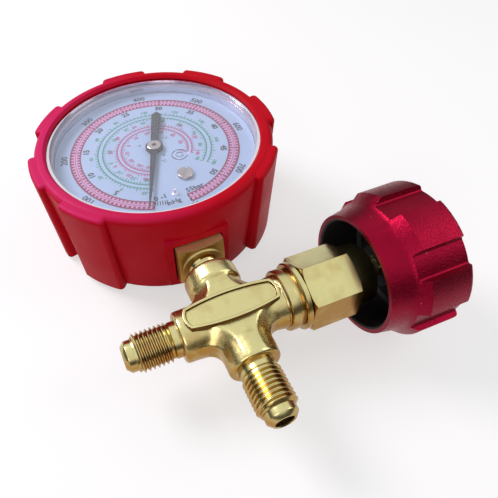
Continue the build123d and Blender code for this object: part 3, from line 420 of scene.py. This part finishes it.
def thread(bm, axis, out, start, end, crest, root, pitch, wall):
    """A screw thread round an axis through the crossing: one tooth's outline is spun up a helix,
    then cut square at both ends with a lead-in, and closed by an inner wall."""
    steps = 60
    turns = ceil((end - start) / pitch) + 2
    deep = crest - root
    flank = deep * 0.577
    flat = (pitch - 2 * flank) / 2
    tooth = [(0, root), (flat, root), (flat + flank, crest),
             (flat * 1.9 + flank, crest), (pitch, root)]
    before = set(bm.verts)
    points = [bm.verts.new(CROSSING + axis * (start - pitch + a) * MM + out * r * MM)
              for a, r in tooth]
    edges = [bm.edges.new(pair) for pair in zip(points, points[1:])]
    bmesh.ops.spin(bm, geom=points + edges, cent=CROSSING, axis=axis, angle=2 * pi * turns,
                   steps=steps * turns, dvec=axis * (pitch / steps) * MM)
    made = [v for v in bm.verts if v not in before]
    for v in made:
        along, away = cylinder_place(v.co, axis)
        place = min(max(along, start), end)
        lead = min(root - 0.1 + (place - start) * 1.2, root - 0.1 + (end - place) * 1.2)
        v.co = (CROSSING + axis * place * MM
                + away.normalized() * min(away.length, max(lead, root - 0.1)) * MM)
    bmesh.ops.remove_doubles(bm, verts=made, dist=0.002 * MM)
    made = [v for v in bm.verts if v not in before]
    bmesh.ops.dissolve_degenerate(bm, dist=0.001 * MM,
                                  edges=[e for e in bm.edges if e.verts[0] not in before])
    rims = [e for e in bm.edges if e.is_boundary and e.verts[0] not in before]
    grown = bmesh.ops.extrude_edge_only(bm, edges=rims)
    for v in (g for g in grown["geom"] if isinstance(g, bmesh.types.BMVert)):
        along, away = cylinder_place(v.co, axis)
        v.co = CROSSING + axis * along * MM + away.normalized() * wall * MM
    inner = [e for e in grown["geom"] if isinstance(e, bmesh.types.BMEdge) and e.is_boundary]
    bmesh.ops.bridge_loops(bm, edges=inner)
    bmesh.ops.recalc_face_normals(bm, faces=[f for f in bm.faces
                                             if f.verts[0] not in before])


def evaluated(made):
    """The mesh of an object with its modifiers applied."""
    graph = bpy.context.evaluated_depsgraph_get()
    return bpy.data.meshes.new_from_object(made.evaluated_get(graph))


def printed(bm, words, size, place, turn, height, bold=0.0, ink=0):
    """Sets a word in flat ink, centred on a place in millimetres and turned in degrees."""
    curve = bpy.data.curves.new("figure", "FONT")
    curve.body = words
    curve.size = size
    curve.align_x, curve.align_y = "CENTER", "CENTER"
    curve.resolution_u = 2
    curve.offset = bold * size
    letter = bpy.data.objects.new("figure", curve)
    bpy.context.scene.collection.objects.link(letter)
    mesh = evaluated(letter)
    bpy.data.objects.remove(letter)
    mesh.transform(Matrix.Translation(Vector((place[0] * MM, place[1] * MM, height)))
                   @ Matrix.Rotation(radians(turn), 4, "Z"))
    first = len(bm.faces)
    bm.from_mesh(mesh)
    bm.faces.ensure_lookup_table()
    for k in range(first, len(bm.faces)):
        bm.faces[k].material_index = ink
    bpy.data.meshes.remove(mesh)


def arc_band(bm, inner, outer, start, sweep, height, ink, steps=160):
    """A flat band of ink between two radii, from a start angle clockwise through a sweep."""
    ray = Vector((cos(radians(start)), sin(radians(start)), 0))
    ends = [bm.verts.new(ray * r * MM + Z_AXIS * height) for r in (outer, inner)]
    edge = bm.edges.new(ends)
    before = set(bm.faces)
    bmesh.ops.spin(bm, geom=ends + [edge], cent=Z_AXIS * height, axis=-Z_AXIS,
                   angle=radians(sweep), steps=steps)
    for face in bm.faces:
        if face not in before:
            face.material_index = ink
            if face.normal.z < 0:
                face.normal_flip()


def on_ring(radius, angle):
    """The place on a ring round the dial's centre at an angle in degrees."""
    return radius * cos(radians(angle)), radius * sin(radians(angle))


def stroke(bm, angle, inner, outer, wide, height, ink):
    """One radial tick of ink."""
    turn = (Matrix.Translation(Z_AXIS * height) @ Matrix.Rotation(radians(angle), 4, "Z")
            @ Matrix.Translation(Vector(((inner + outer) / 2 * MM, 0, 0)))
            @ Matrix.Diagonal(Vector(((outer - inner) * MM, wide * MM, 1, 1))))
    first = len(bm.faces)
    bmesh.ops.create_grid(bm, x_segments=1, y_segments=1, size=0.5, matrix=turn)
    bm.faces.ensure_lookup_table()
    bm.faces[first].material_index = ink


# ================================================================ operators
class MakeBoot(bpy.types.Operator):
    """Makes the moulded red boot round the gauge"""
    bl_idname = "gauge.make_boot"
    bl_label = "Boot"

    def execute(self, context):
        sizes, colours = context.scene.gauge_sizes, context.scene.gauge_colours
        bm = merged("boot")
        soften(bm, sizes.boot_break)
        piece("boot_moulding", bm, [moulded_pvc(colours)], ["boot"])
        return {"FINISHED"}


class MakeCase(bpy.types.Operator):
    """Finishes the gauge's steel case, its bezel, lens and gasket"""
    bl_idname = "gauge.make_case"
    bl_label = "Case and lens"

    def execute(self, context):
        # Steel deep-drawn and polished inside: a clear cool mirror, faintly clouded.
        steel = plain_finish("drawn_polished_steel", "#D8D3DE", 1.0, 0.2, 3.0, 0.02)
        # Steel spun into a ring and plated: brighter and smoother than the case.
        ring = plain_finish("spun_plated_steel", "#E4E0EA", 1.0, 0.14, 4.0, 0.01)
        # Silicone, moulded milky white: soft, waxy and dull.
        gasket = plain_finish("moulded_white_silicone", "#D9D4DE", 0.0, 0.5, 2.0, 0.02, 1.43)
        paint(steel, "case")
        paint(ring, "bezel")
        paint(gasket, "lens_gasket")
        low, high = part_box("lens")
        bottom, top, edge = low.z / MM, high.z / MM, high.x / MM
        bm = bmesh.new()
        lathe(bm, [(bottom, 0), (bottom, edge - 0.3), (bottom + 0.1, edge), (top - 0.1, edge),
                   (top, edge - 0.3), (top, 0)], Vector(), Z_AXIS, X_AXIS, closed=False)
        # two faint rings round the point where the mould was filled
        gate = Vector((5.2, -10.8, 0)) * MM
        for ring_r in (1.1, 2.4):
            lathe(bm, [(top - 0.005, ring_r - 0.3), (top + 0.01, ring_r),
                       (top - 0.005, ring_r + 0.3), (top - 0.1, ring_r)],
                  gate, Z_AXIS, X_AXIS, steps=48)
        piece("clear_lens", bm, [clear_polycarbonate()], ["lens"])
        return {"FINISHED"}


class MakeDial(bpy.types.Operator):
    """Finishes the dial and prints its scales and figures"""
    bl_idname = "gauge.make_dial"
    bl_label = "Dial"

    def execute(self, context):
        sizes, colours = context.scene.gauge_sizes, context.scene.gauge_colours
        # Aluminium sheet, enamelled and baked: a smooth pale blue with a satin gloss.
        material, tree = blank("baked_dial_enamel")
        place = add(tree, "ShaderNodeTexCoord").outputs["Object"]
        cloud = noise(tree, place, 12, 2.0)
        peel = noise(tree, place, 1.2, 1.0)
        blue = colours.dial_blue
        pale = [min(1.0, c * 1.08) for c in blue[:3]] + [1.0]
        tint = blend(tree, cloud.outputs["Fac"], list(blue), pale)
        skin = bump(tree, peel.outputs["Fac"], 0.2, 0.01)
        enamel = add(tree, "ShaderNodeBsdfPrincipled", {
            "Base Color": tint.outputs[2], "Roughness": 0.35, "IOR": 1.5,
            "Normal": skin.outputs["Normal"]})
        bm = merged("dial")
        edge_from, wall_r = 31.9, 33.0
        for v in bm.verts:
            out = Vector((v.co.x, v.co.y, 0)) / MM
            if out.length > edge_from:
                v.co.xy = out.normalized().xy * wall_r * MM
        piece("enamelled_dial", bm, [shown(material, tree, enamel.outputs["BSDF"])],
              ["dial"])

        inks = [printed_ink("pad_printed_magenta", colours.band_magenta),
                printed_ink("pad_printed_pink_tint", colours.band_pink),
                printed_ink("pad_printed_teal", colours.scale_teal),
                printed_ink("pad_printed_pink", colours.scale_pink),
                printed_ink("pad_printed_slate", colours.ink)]
        magenta, tinted, teal, pink, slate = range(5)
        face = 26.6 * MM
        low, mid, high = face + 0.02 * MM, face + 0.04 * MM, face + 0.06 * MM
        bm = bmesh.new()
        psi_zero, per_psi, per_bar = 251.0, 0.4205, 6.1
        band_sweep, band_in, band_out = 335.5, 24.6, 27.8
        outer_ring, inner_ring = 29.7, 22.7
        # pressure band: pink tint, two ruled lines and a comb of ticks on each
        arc_band(bm, band_in, 27.9, psi_zero, band_sweep, low, tinted)
        for at, wide in ((band_out, 0.6), (26.2, 0.16), (band_in, 0.5)):
            arc_band(bm, at - wide / 2, at + wide / 2, psi_zero, band_sweep, mid, magenta)
        for k in range(111):
            angle = psi_zero - 0.5 * k * per_bar
            deep = 1.4 if k % 10 == 0 else 1.1
            stroke(bm, angle, band_out - deep, band_out, 0.75, high, magenta)
            stroke(bm, angle, band_in, 24.5 + deep, 0.62, high, magenta)
        arc_band(bm, 23.9, 28.6, psi_zero - band_sweep + 0.5, 0.5, high, magenta, steps=2)
        for k in range(1, 9):
            angle = psi_zero - 100 * k * per_psi
            printed(bm, str(100 * k), sizes.outer_figures,
                    on_ring(outer_ring, angle), angle - 90, mid, 0.03, slate)
        for k in range(1, 11):
            angle = psi_zero - 5 * k * per_bar
            printed(bm, str(5 * k), sizes.inner_figures,
                    on_ring(inner_ring, angle), angle - 90, mid, 0.045, slate)
        # vacuum end of the scale and the units
        for k in range(6):
            stroke(bm, 252.0 + 1.7 * k, band_in, 26.4, 0.3, mid, slate)
        printed(bm, "0 -1", 2.6 * MM, (-5.6, -22.5), 0, mid, 0.035, slate)
        printed(bm, "inHg", 2.4 * MM, (-2.5, -25.8), 2, mid, 0.03, slate)
        printed(bm, "55bar", 2.5 * MM, (5.4, -22.7), 6, mid, 0.035, slate)
        # temperature scales: two ruled lines each, ticks across them and figures on both sides
        for inner, outer, start, sweep, count, ink, values_in, values_out in (
                (17.2, 18.8, 250.0, 294.7, 74, teal, range(-30, 100, 10), range(-20, 200, 20)),
                (11.1, 12.4, 248.0, 281.0, 56, pink, range(-40, 70, 10), range(-40, 160, 20))):
            for at in (inner, outer):
                arc_band(bm, at - 0.22, at + 0.22, start, sweep, mid, ink)
            for k in range(count + 1):
                angle = start - sweep * (k / count) ** 1.12
                reach = 1.4 if k % 5 == 0 else 0.85
                stroke(bm, angle, outer, outer + reach, 0.32, high, ink)
                stroke(bm, angle, inner - reach, inner, 0.32, high, ink)
            for values, at in ((values_in, inner - 2.1), (values_out, outer + 2.1)):
                values = list(values)
                for k, value in enumerate(values):
                    angle = start - 6 - (sweep - 8) * (k / (len(values) - 1)) ** 1.12
                    printed(bm, str(value), sizes.scale_figures,
                            on_ring(at, angle), angle - 90, mid, 0.035, ink)
        for words, spot in (("°F", (-4.2, 3.6)), ("°C", (5.3, 4.0)), ("°F", (1.6, -4.4)),
                            ("°C", (0.9, -7.0))):
            printed(bm, words, 1.5 * MM, spot, 0, mid, 0.02, slate)
        piece("dial_printing", bm, inks, even=False)
        return {"FINISHED"}


class MakePointer(bpy.types.Operator):
    """Makes the pointer, its cap, the zero screw and the stop pin"""
    bl_idname = "gauge.make_pointer"
    bl_label = "Pointer"

    def execute(self, context):
        colours = context.scene.gauge_colours
        # Aluminium stamped and spray-painted navy: a fine spray grain under a satin gloss.
        paint_finish = plain_finish("sprayed_navy_paint", colours.pointer_blue, 0.0, 0.35, 0.5,
                                    0.01)
        # Brass turned and nickel-plated: a warm grey mirror, a little clouded.
        nickel = plain_finish("nickel_plate", "#BDB6B2", 1.0, 0.22, 1.5, 0.01)
        bm = merged("pointer")
        soften(bm, 0.06 * MM, segments=1)
        piece("pointer_blade", bm, [paint_finish], ["pointer"],
              "pointer_and_pinion")
        bm = bmesh.new()
        lathe(bm, [(28.3, 0), (28.3, 2.3), (28.48, 2.3), (28.6, 2.1), (28.6, 0.7),
                   (28.35, 0.5), (28.35, 0)], Vector(), Z_AXIS, X_AXIS, closed=False, steps=48)
        dimple_r = 0.65 * MM
        for face in bm.faces:
            if face.calc_center_median().xy.length < dimple_r and face.normal.z > 0:
                face.material_index = 1
        piece("pointer_boss_cap", bm, [nickel, paint_finish], ["pointer_cap"],
              "pointer_and_pinion", sharp=20)
        bm = merged("zero_screw")
        soften(bm, 0.15 * MM)
        piece("zero_screw_head", bm, [nickel], ["zero_screw"])
        bm = bmesh.new()
        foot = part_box("stop_pin")
        middle = (foot[0] + foot[1]) / 2
        middle.z = 0
        lathe(bm, [(26.3, 0), (26.3, 0.5), (26.6, 0.5), (26.6, 1.0), (26.8, 1.0), (26.9, 0.85),
                   (26.9, 0.5), (28.35, 0.5), (28.5, 0.35), (28.5, 0)], middle, Z_AXIS, X_AXIS,
              closed=False, steps=32)
        # Steel post, tumbled and plated bright: paler than the cap.
        bright = plain_finish("bright_plated_steel", "#E2E0EC", 1.0, 0.35, 1.0, 0.01)
        piece("stop_post", bm, [bright], ["stop_pin"], sharp=20)
        return {"FINISHED"}


class MakeManifold(bpy.types.Operator):
    """Makes the forged brass body, its raised plate, its turned ends and its threads"""
    bl_idname = "gauge.make_manifold"
    bl_label = "Manifold"

    def execute(self, context):
        sizes, colours = context.scene.gauge_sizes, context.scene.gauge_colours
        forged = forged_brass(colours)
        # Brass painted dark brown and dull on the raised plate's steep walls: painted shade where the
        # rim and field step down.
        shade_walls_brass = plain_finish("painted_shade_dark_brass", colours.brass_deep, 1.0, 0.42, 1.0, 0.04)
        turned_x = turned_brass(colours, "turned_brass_across", "X", CROSSING)
        turned_y = turned_brass(colours, "turned_brass_down", "Y", CROSSING)

        # forged cross: the CAD body without its turned ends, its edges drawn soft, and the two
        # levels of its plate lowered, because the raised plate below stands in their place
        plate_field, plate_top, lowered = 7.6, 8.05, 6.7
        bm = merged("manifold_body")
        for v in bm.verts:
            offset = (v.co - CROSSING) / MM
            if 7.5 < offset.z < 8.2 and abs(offset.x) < 14.5 and abs(offset.y) < 5.5 and (
                    min(abs(offset.z - plate_field), abs(offset.z - plate_top)) < 0.01):
                v.co.z = CROSSING.z + lowered * MM
        for direction, reach in ((-X_AXIS, 15.8), (-Y_AXIS, 15.8), (X_AXIS, 14.2)):
            bmesh.ops.bisect_plane(bm, geom=bm.verts[:] + bm.edges[:] + bm.faces[:],
                                   plane_co=CROSSING + direction * reach * MM,
                                   plane_no=direction, clear_outer=True)
            bmesh.ops.triangle_fill(bm, use_beauty=True,
                                    edges=[e for e in bm.edges if e.is_boundary])
        rough = bpy.data.meshes.new("rough forging")
        bm.to_mesh(rough)
        bm.free()
        blank_forging = bpy.data.objects.new("rough forging", rough)
        bpy.context.scene.collection.objects.link(blank_forging)
        remesh = blank_forging.modifiers.new("remesh", "REMESH")
        remesh.mode = "VOXEL"
        remesh.voxel_size = sizes.forging_voxel
        even_grain = evaluated(blank_forging)
        bpy.data.objects.remove(blank_forging)
        bm = bmesh.new()
        bm.from_mesh(even_grain)
        bpy.data.meshes.remove(even_grain)
        for _ in range(9):
            bmesh.ops.smooth_vert(bm, verts=bm.verts, factor=0.5, use_axis_x=True,
                                  use_axis_y=True, use_axis_z=True)
        piece("forged_body", bm, [forged], ["manifold_body"], sharp=60, even=False)

        # raised plate: two long bows with rounded ends, and a rim drawn round a sunk field
        bm = bmesh.new()
        half, wide, end_y, end_x, root_z = 13.8, 4.8, 3.4, 12.7, 4.6
        tall = (plate_top - root_z) * MM
        bow = (end_x ** 2 + (wide - end_y) ** 2) / (2 * (wide - end_y))
        cap = (end_y ** 2 + (half - end_x) ** 2) / (2 * (half - end_x))
        base = CROSSING + Z_AXIS * root_z * MM
        for side in (1, -1):
            for centre, start, radius, steps in (
                    (Vector((0, side * (wide - bow), 0)), Vector((side * end_x, side * end_y, 0)),
                     bow, 24),
                    (Vector((side * (cap - half), 0, 0)), Vector((-side * end_x, side * end_y, 0)),
                     cap, 12)):
                arm = start - centre
                across = 2 * atan2(abs(arm.x), abs(arm.y)) if radius == bow else (
                    2 * atan2(abs(arm.y), abs(arm.x)))
                dot = bm.verts.new(base + start * MM)
                bmesh.ops.spin(bm, geom=[dot], cent=base + centre * MM, axis=Z_AXIS,
                               angle=across, steps=steps)
        bmesh.ops.remove_doubles(bm, verts=bm.verts, dist=0.01 * MM)
        bmesh.ops.edgenet_fill(bm, edges=bm.edges)
        bottom = bm.faces[:]
        for face in bottom:
            if face.normal.z < 0:
                face.normal_flip()
        top = bmesh.ops.extrude_face_region(bm, geom=bottom)
        raised = [g for g in top["geom"] if isinstance(g, bmesh.types.BMVert)]
        bmesh.ops.translate(bm, verts=raised, vec=Z_AXIS * tall)
        bmesh.ops.reverse_faces(bm, faces=[f for f in bm.faces if all(
            abs(v.co.z - base.z) < 1e-7 for v in f.verts)])
        lid = [f for f in bm.faces if all(
            abs(v.co.z - base.z - tall) < 1e-7 for v in f.verts)]
        for v in raised:
            offset = v.co - CROSSING
            v.co.x, v.co.y = CROSSING.x + offset.x * 0.985, CROSSING.y + offset.y * 0.955
        bmesh.ops.inset_region(bm, faces=lid, thickness=sizes.plate_rim, depth=0.0,
                               use_even_offset=True)
        bmesh.ops.inset_region(bm, faces=lid, thickness=0.18 * MM, depth=-0.65 * MM,
                               use_even_offset=True)
        bmesh.ops.recalc_face_normals(bm, faces=bm.faces)
        # painted shade: the plate's steep walls take the dark brass
        for face in bm.faces:
            if abs(face.normal.z) < 0.7:
                face.material_index = 1
        soften(bm, 0.14 * MM, angle=25, segments=3)
        piece("raised_plate", bm, [forged, shade_walls_brass], sharp=50)

        # turned rings of the valve neck
        bm = bmesh.new()
        lathe(bm, [(13.2, 6.3), (13.2, 7.3), (14.45, 7.75), (14.5, 8.6), (14.75, 8.85),
                   (15.1, 8.9), (17.0, 8.9), (17.25, 8.75), (17.35, 8.3), (18.2, 8.3),
                   (18.35, 9.5), (18.75, 9.9), (19.9, 9.9), (20.2, 9.6), (20.2, 6.3)],
              CROSSING, X_AXIS, Y_AXIS)
        piece("valve_neck_rings", bm, [turned_x], sharp=32)

        # the two flare ports: a turned core with its bore, and the thread round it
        for name, axis, out, material in (("left_port", -X_AXIS, Y_AXIS, turned_x),
                                          ("front_port", -Y_AXIS, X_AXIS, turned_y)):
            bm = bmesh.new()
            lathe(bm, [(14.6, 2.6), (14.6, 6.0), (15.85, 6.0), (15.85, 5.1), (17.6, 5.1),
                       (17.9, 4.7), (28.15, 4.7), (28.25, 4.4), (29.9, 4.4), (30.1, 4.3),
                       (31.2, 3.2), (31.3, 3.0), (31.3, 2.85), (31.1, 2.6)],
                  CROSSING, axis, out)
            thread(bm, axis, out, 17.8, 28.2, 5.555, sizes.port_root / MM,
                   sizes.port_pitch / MM, 4.0)
            piece(name + "_flare", bm, [material], sharp=32)
        return {"FINISHED"}


class MakeSocket(bpy.types.Operator):
    """Makes the gauge's square socket and the thread of its neck"""
    bl_idname = "gauge.make_socket"
    bl_label = "Socket"

    def execute(self, context):
        sizes, colours = context.scene.gauge_sizes, context.scene.gauge_colours
        brass = turned_brass(colours, "milled_brass_socket", "Y", CROSSING, 0.48)
        bright = turned_brass(colours, "cut_brass_thread", "Y", CROSSING, 0.18)
        bm = merged("socket")
        # the neck is drawn in, and its thread is laid round it
        crest, core, start, end = 4.9, 3.9, 14.0, 20.5
        neck_from, neck_to, neck_in, neck_out = 10.0, 20.25, 4.3, 4.95
        for v in bm.verts:
            along, away = cylinder_place(v.co, Y_AXIS)
            if neck_from < along < neck_to and neck_in < away.length < neck_out:
                v.co = CROSSING + Y_AXIS * along * MM + away.normalized() * core * MM
        soften(bm, 0.2 * MM)
        block = set(bm.faces)
        thread(bm, Y_AXIS, X_AXIS, start, end, crest, sizes.neck_root / MM,
               sizes.neck_pitch / MM, 3.6)
        for face in bm.faces:
            if face not in block:
                face.material_index = 1
        piece("gauge_socket", bm, [brass, bright], ["socket"], sharp=32)
        return {"FINISHED"}


class MakeValve(bpy.types.Operator):
    """Makes the hexagonal packing nut and finishes the valve's stem"""
    bl_idname = "gauge.make_valve"
    bl_label = "Packing nut and stem"

    def execute(self, context):
        sizes, colours = context.scene.gauge_sizes, context.scene.gauge_colours
        brass = turned_brass(colours, "turned_hexagon_brass", "X", CROSSING)
        bm = merged("packing_nut")
        soften(bm, sizes.nut_break)
        piece("packing_hexagon", bm, [brass], ["packing_nut"], sharp=32)
        paint(brass, "valve_stem")
        return {"FINISHED"}


class MakeKnob(bpy.types.Operator):
    """Makes the fluted knob with its cap, screw and washer"""
    bl_idname = "gauge.make_knob"
    bl_label = "Knob"

    def execute(self, context):
        sizes, colours = context.scene.gauge_sizes, context.scene.gauge_colours
        red = anodised_aluminium(colours)
        # Near-black on the faces inside the knob's hollow: flat, slightly dusty and nearly without a
        # gleam.
        black = plain_finish("hollow_matt_black", "#0B0A0C", 0.0, 0.6, 0.8, 0.02)
        # Steel rolled and zinc-plated: a clouded grey shine.
        zinc = plain_finish("zinc_plated_steel", "#B9BBBE", 1.0, 0.3, 2.0, 0.02)
        bm = merged("knob")
        soften(bm, sizes.knob_break)
        hollow_end, hollow_r = 52.3, 17.75
        for face in bm.faces:
            corners = [cylinder_place(v.co, X_AXIS) for v in face.verts]
            if all(along < hollow_end and away.length < hollow_r for along, away in corners):
                face.material_index = 1
        piece("fluted_knob", bm, [red, black], ["knob"], "knob_and_stem",
              sharp=32)
        bm = merged("knob_cap")
        soften(bm, 0.15 * MM)
        piece("knob_end_cap", bm, [red], ["knob_cap"], "knob_and_stem")
        paint(zinc, "knob_screw", "knob_washer")
        return {"FINISHED"}


class FinishInside(bpy.types.Operator):
    """Finishes the movement, the Bourdon tube, the seals and the back of the case"""
    bl_idname = "gauge.finish_inside"
    bl_label = "Movement and seals"

    def execute(self, context):
        colours = context.scene.gauge_colours
        # Brass sheet, blanked and barrel-polished: even, yellow and softly bright.
        sheet = plain_finish("blanked_brass_sheet", "#D9BC70", 1.0, 0.28, 2.0, 0.02)
        # Phosphor bronze drawn to tube and wire: redder than brass and softly clouded.
        bronze = plain_finish("drawn_phosphor_bronze", "#C98F5C", 1.0, 0.3, 1.5, 0.03)
        # Steel turned and left bright: a cool grey shine.
        steel = plain_finish("bright_turned_steel", "#C4C6C9", 1.0, 0.25, 1.0, 0.01)
        # PTFE turned from rod: waxy white without gloss.
        wax = plain_finish("turned_ptfe", "#ECECE6", 0.0, 0.5, 1.5, 0.01, 1.38)
        # Nitrile rubber, moulded: dull black with a bloom.
        rubber = plain_finish("moulded_nitrile_rubber", "#1B1B1C", 0.0, 0.6, 0.8, 0.02, 1.52)
        turned = turned_brass(colours, "turned_brass_small_parts", "Z", Vector())
        paint(sheet, "sector_gear", "link_rod", "movement_front_plate", "movement_back_plate")
        paint(turned, "pinion", "tube_end", "movement_pillars")
        paint(bronze, "bourdon_tube", "hairspring")
        paint(steel, "movement_screws", "case_screws")
        paint(wax, "seat_disc", "gland_washer")
        paint(rubber, "case_plug", "stem_o_rings")
        return {"FINISHED"}


class SetStage(bpy.types.Operator):
    """Sets the camera, the paper floor, the lamps and the white surroundings"""
    bl_idname = "gauge.set_stage"
    bl_label = "Stage"

    def execute(self, context):
        scene = context.scene
        view = bpy.data.cameras.new("camera")
        view.sensor_width = 36.0
        view.lens = 35.70
        view.shift_x, view.shift_y = 0.1117, 0.0140
        camera = bpy.data.objects.new("camera", view)
        right = Vector((0.9301, -0.3630, -0.0559))
        up = Vector((0.3144, 0.7084, 0.6319))
        back = Vector((-0.1898, -0.6053, 0.7730))
        camera.matrix_world = (Matrix.Translation(Vector((-30.2, -128.7, 130.9)) * MM)
                               @ Matrix((right, up, back)).transposed().to_4x4())
        scene.collection.objects.link(camera)
        scene.camera = camera

        # paper floor: it leans a little, because the part rests on its boot and its knob
        lean, below, floor_r = radians(3.9), 0.02 * MM, 1500 * MM
        uphill = Vector((-1, 1, 0)).normalized()
        normal = Vector((-uphill.x * sin(lean), -uphill.y * sin(lean), cos(lean)))
        lowest = min(normal.dot(v.co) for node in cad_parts.values()
                     for v in node.data.vertices)
        bm = bmesh.new()
        bmesh.ops.create_circle(bm, cap_ends=True, segments=96, radius=floor_r)
        turn = Z_AXIS.rotation_difference(normal).to_matrix().to_4x4()
        bmesh.ops.transform(bm, matrix=Matrix.Translation(normal * (lowest - below)) @ turn,
                            verts=bm.verts)
        for face in bm.faces:
            if face.normal.dot(normal) < 0:
                face.normal_flip()
        mesh = bpy.data.meshes.new("paper_floor")
        bm.to_mesh(mesh)
        bm.free()
        mesh.materials.append(white_paper())
        floor = bpy.data.objects.new("paper_floor", mesh)
        scene.collection.objects.link(floor)

        aim = Vector((5, -35, 12)) * MM
        for name, place, wide, power, tint in (
                ("key", (-260, 260, 420), 260, 2.1, (1.0, 0.93, 1.0)),
                ("fill", (420, -160, 300), 300, 0.5, (1.0, 0.99, 0.97)),
                ("front", (-260, -380, 260), 240, 0.45, (1.0, 0.97, 1.0))):
            lamp = bpy.data.lights.new(name, "AREA")
            lamp.shape = "DISK"
            lamp.size = wide * MM
            lamp.energy = power
            lamp.color = tint
            stand = bpy.data.objects.new(name, lamp)
            where = Vector(place) * MM
            stand.matrix_world = (Matrix.Translation(where)
                                  @ (where - aim).to_track_quat("Z", "Y").to_matrix().to_4x4())
            scene.collection.objects.link(stand)

        world = bpy.data.worlds.new("white surroundings")
        scene.world = world
        world.use_nodes = True
        tree = world.node_tree
        tree.nodes.clear()
        ray = add(tree, "ShaderNodeLightPath")
        # in gloss the room is white overhead and dim round the horizon, as a real one is
        rise = add(tree, "ShaderNodeSeparateXYZ",
                   {"Vector": add(tree, "ShaderNodeTexCoord").outputs["Generated"]})
        room = add(tree, "ShaderNodeMapRange", {"Value": rise.outputs["Z"], "From Min": 0.25,
                                               "From Max": 0.6, "To Min": 0.1, "To Max": 1.0},
                   interpolation_type="SMOOTHSTEP")
        gloss = reckon(tree, "MULTIPLY", ray.outputs["Is Glossy Ray"], room.outputs["Result"])
        white = reckon(tree, "MAXIMUM", ray.outputs["Is Camera Ray"], ray.outputs["Is Transmission Ray"])
        plain = add(tree, "ShaderNodeMapRange", {"Value": ray.outputs["Is Glossy Ray"],
                                                "To Min": 0.3, "To Max": 0.0})
        dim = reckon(tree, "ADD", gloss.outputs["Value"], plain.outputs["Result"])
        strength = reckon(tree, "MAXIMUM", white.outputs["Value"], dim.outputs["Value"])
        air = add(tree, "ShaderNodeBackground", {"Color": (1, 1, 1, 1),
                                                "Strength": strength.outputs["Value"]})
        add(tree, "ShaderNodeOutputWorld", {"Surface": air.outputs["Background"]})
        scene.view_settings.view_transform = "Standard"
        return {"FINISHED"}


class GAUGE_PT_pieces(bpy.types.Panel):
    """Lists the pieces of the manifold gauge"""
    bl_idname = "GAUGE_PT_pieces"
    bl_label = "Manifold Gauge"
    bl_space_type = "VIEW_3D"
    bl_region_type = "UI"
    bl_category = "Manifold Gauge"

    def draw(self, context):
        for operator in OPERATORS:
            self.layout.operator(operator.bl_idname)
        for group in (context.scene.gauge_sizes, context.scene.gauge_colours):
            column = self.layout.column()
            for key in group.bl_rna.properties.keys():
                if key not in ("rna_type", "name"):
                    column.prop(group, key)


OPERATORS = (SetStage, MakeBoot, MakeCase, MakeDial, MakePointer, MakeManifold, MakeSocket,
             MakeValve, MakeKnob, FinishInside)
CLASSES = (GaugeSizes, GaugeColours) + OPERATORS + (GAUGE_PT_pieces,)


def register():
    for kind in CLASSES:
        bpy.utils.register_class(kind)
    bpy.types.Scene.gauge_sizes = PointerProperty(type=GaugeSizes)
    bpy.types.Scene.gauge_colours = PointerProperty(type=GaugeColours)


def unregister():
    del bpy.types.Scene.gauge_colours
    del bpy.types.Scene.gauge_sizes
    for kind in reversed(CLASSES):
        bpy.utils.unregister_class(kind)


def main():
    register()
    bpy.ops.gauge.set_stage()
    bpy.ops.gauge.make_boot()
    bpy.ops.gauge.make_case()
    bpy.ops.gauge.make_dial()
    bpy.ops.gauge.make_pointer()
    bpy.ops.gauge.make_manifold()
    bpy.ops.gauge.make_socket()
    bpy.ops.gauge.make_valve()
    bpy.ops.gauge.make_knob()
    bpy.ops.gauge.finish_inside()


if __name__ == "__main__":
    main()
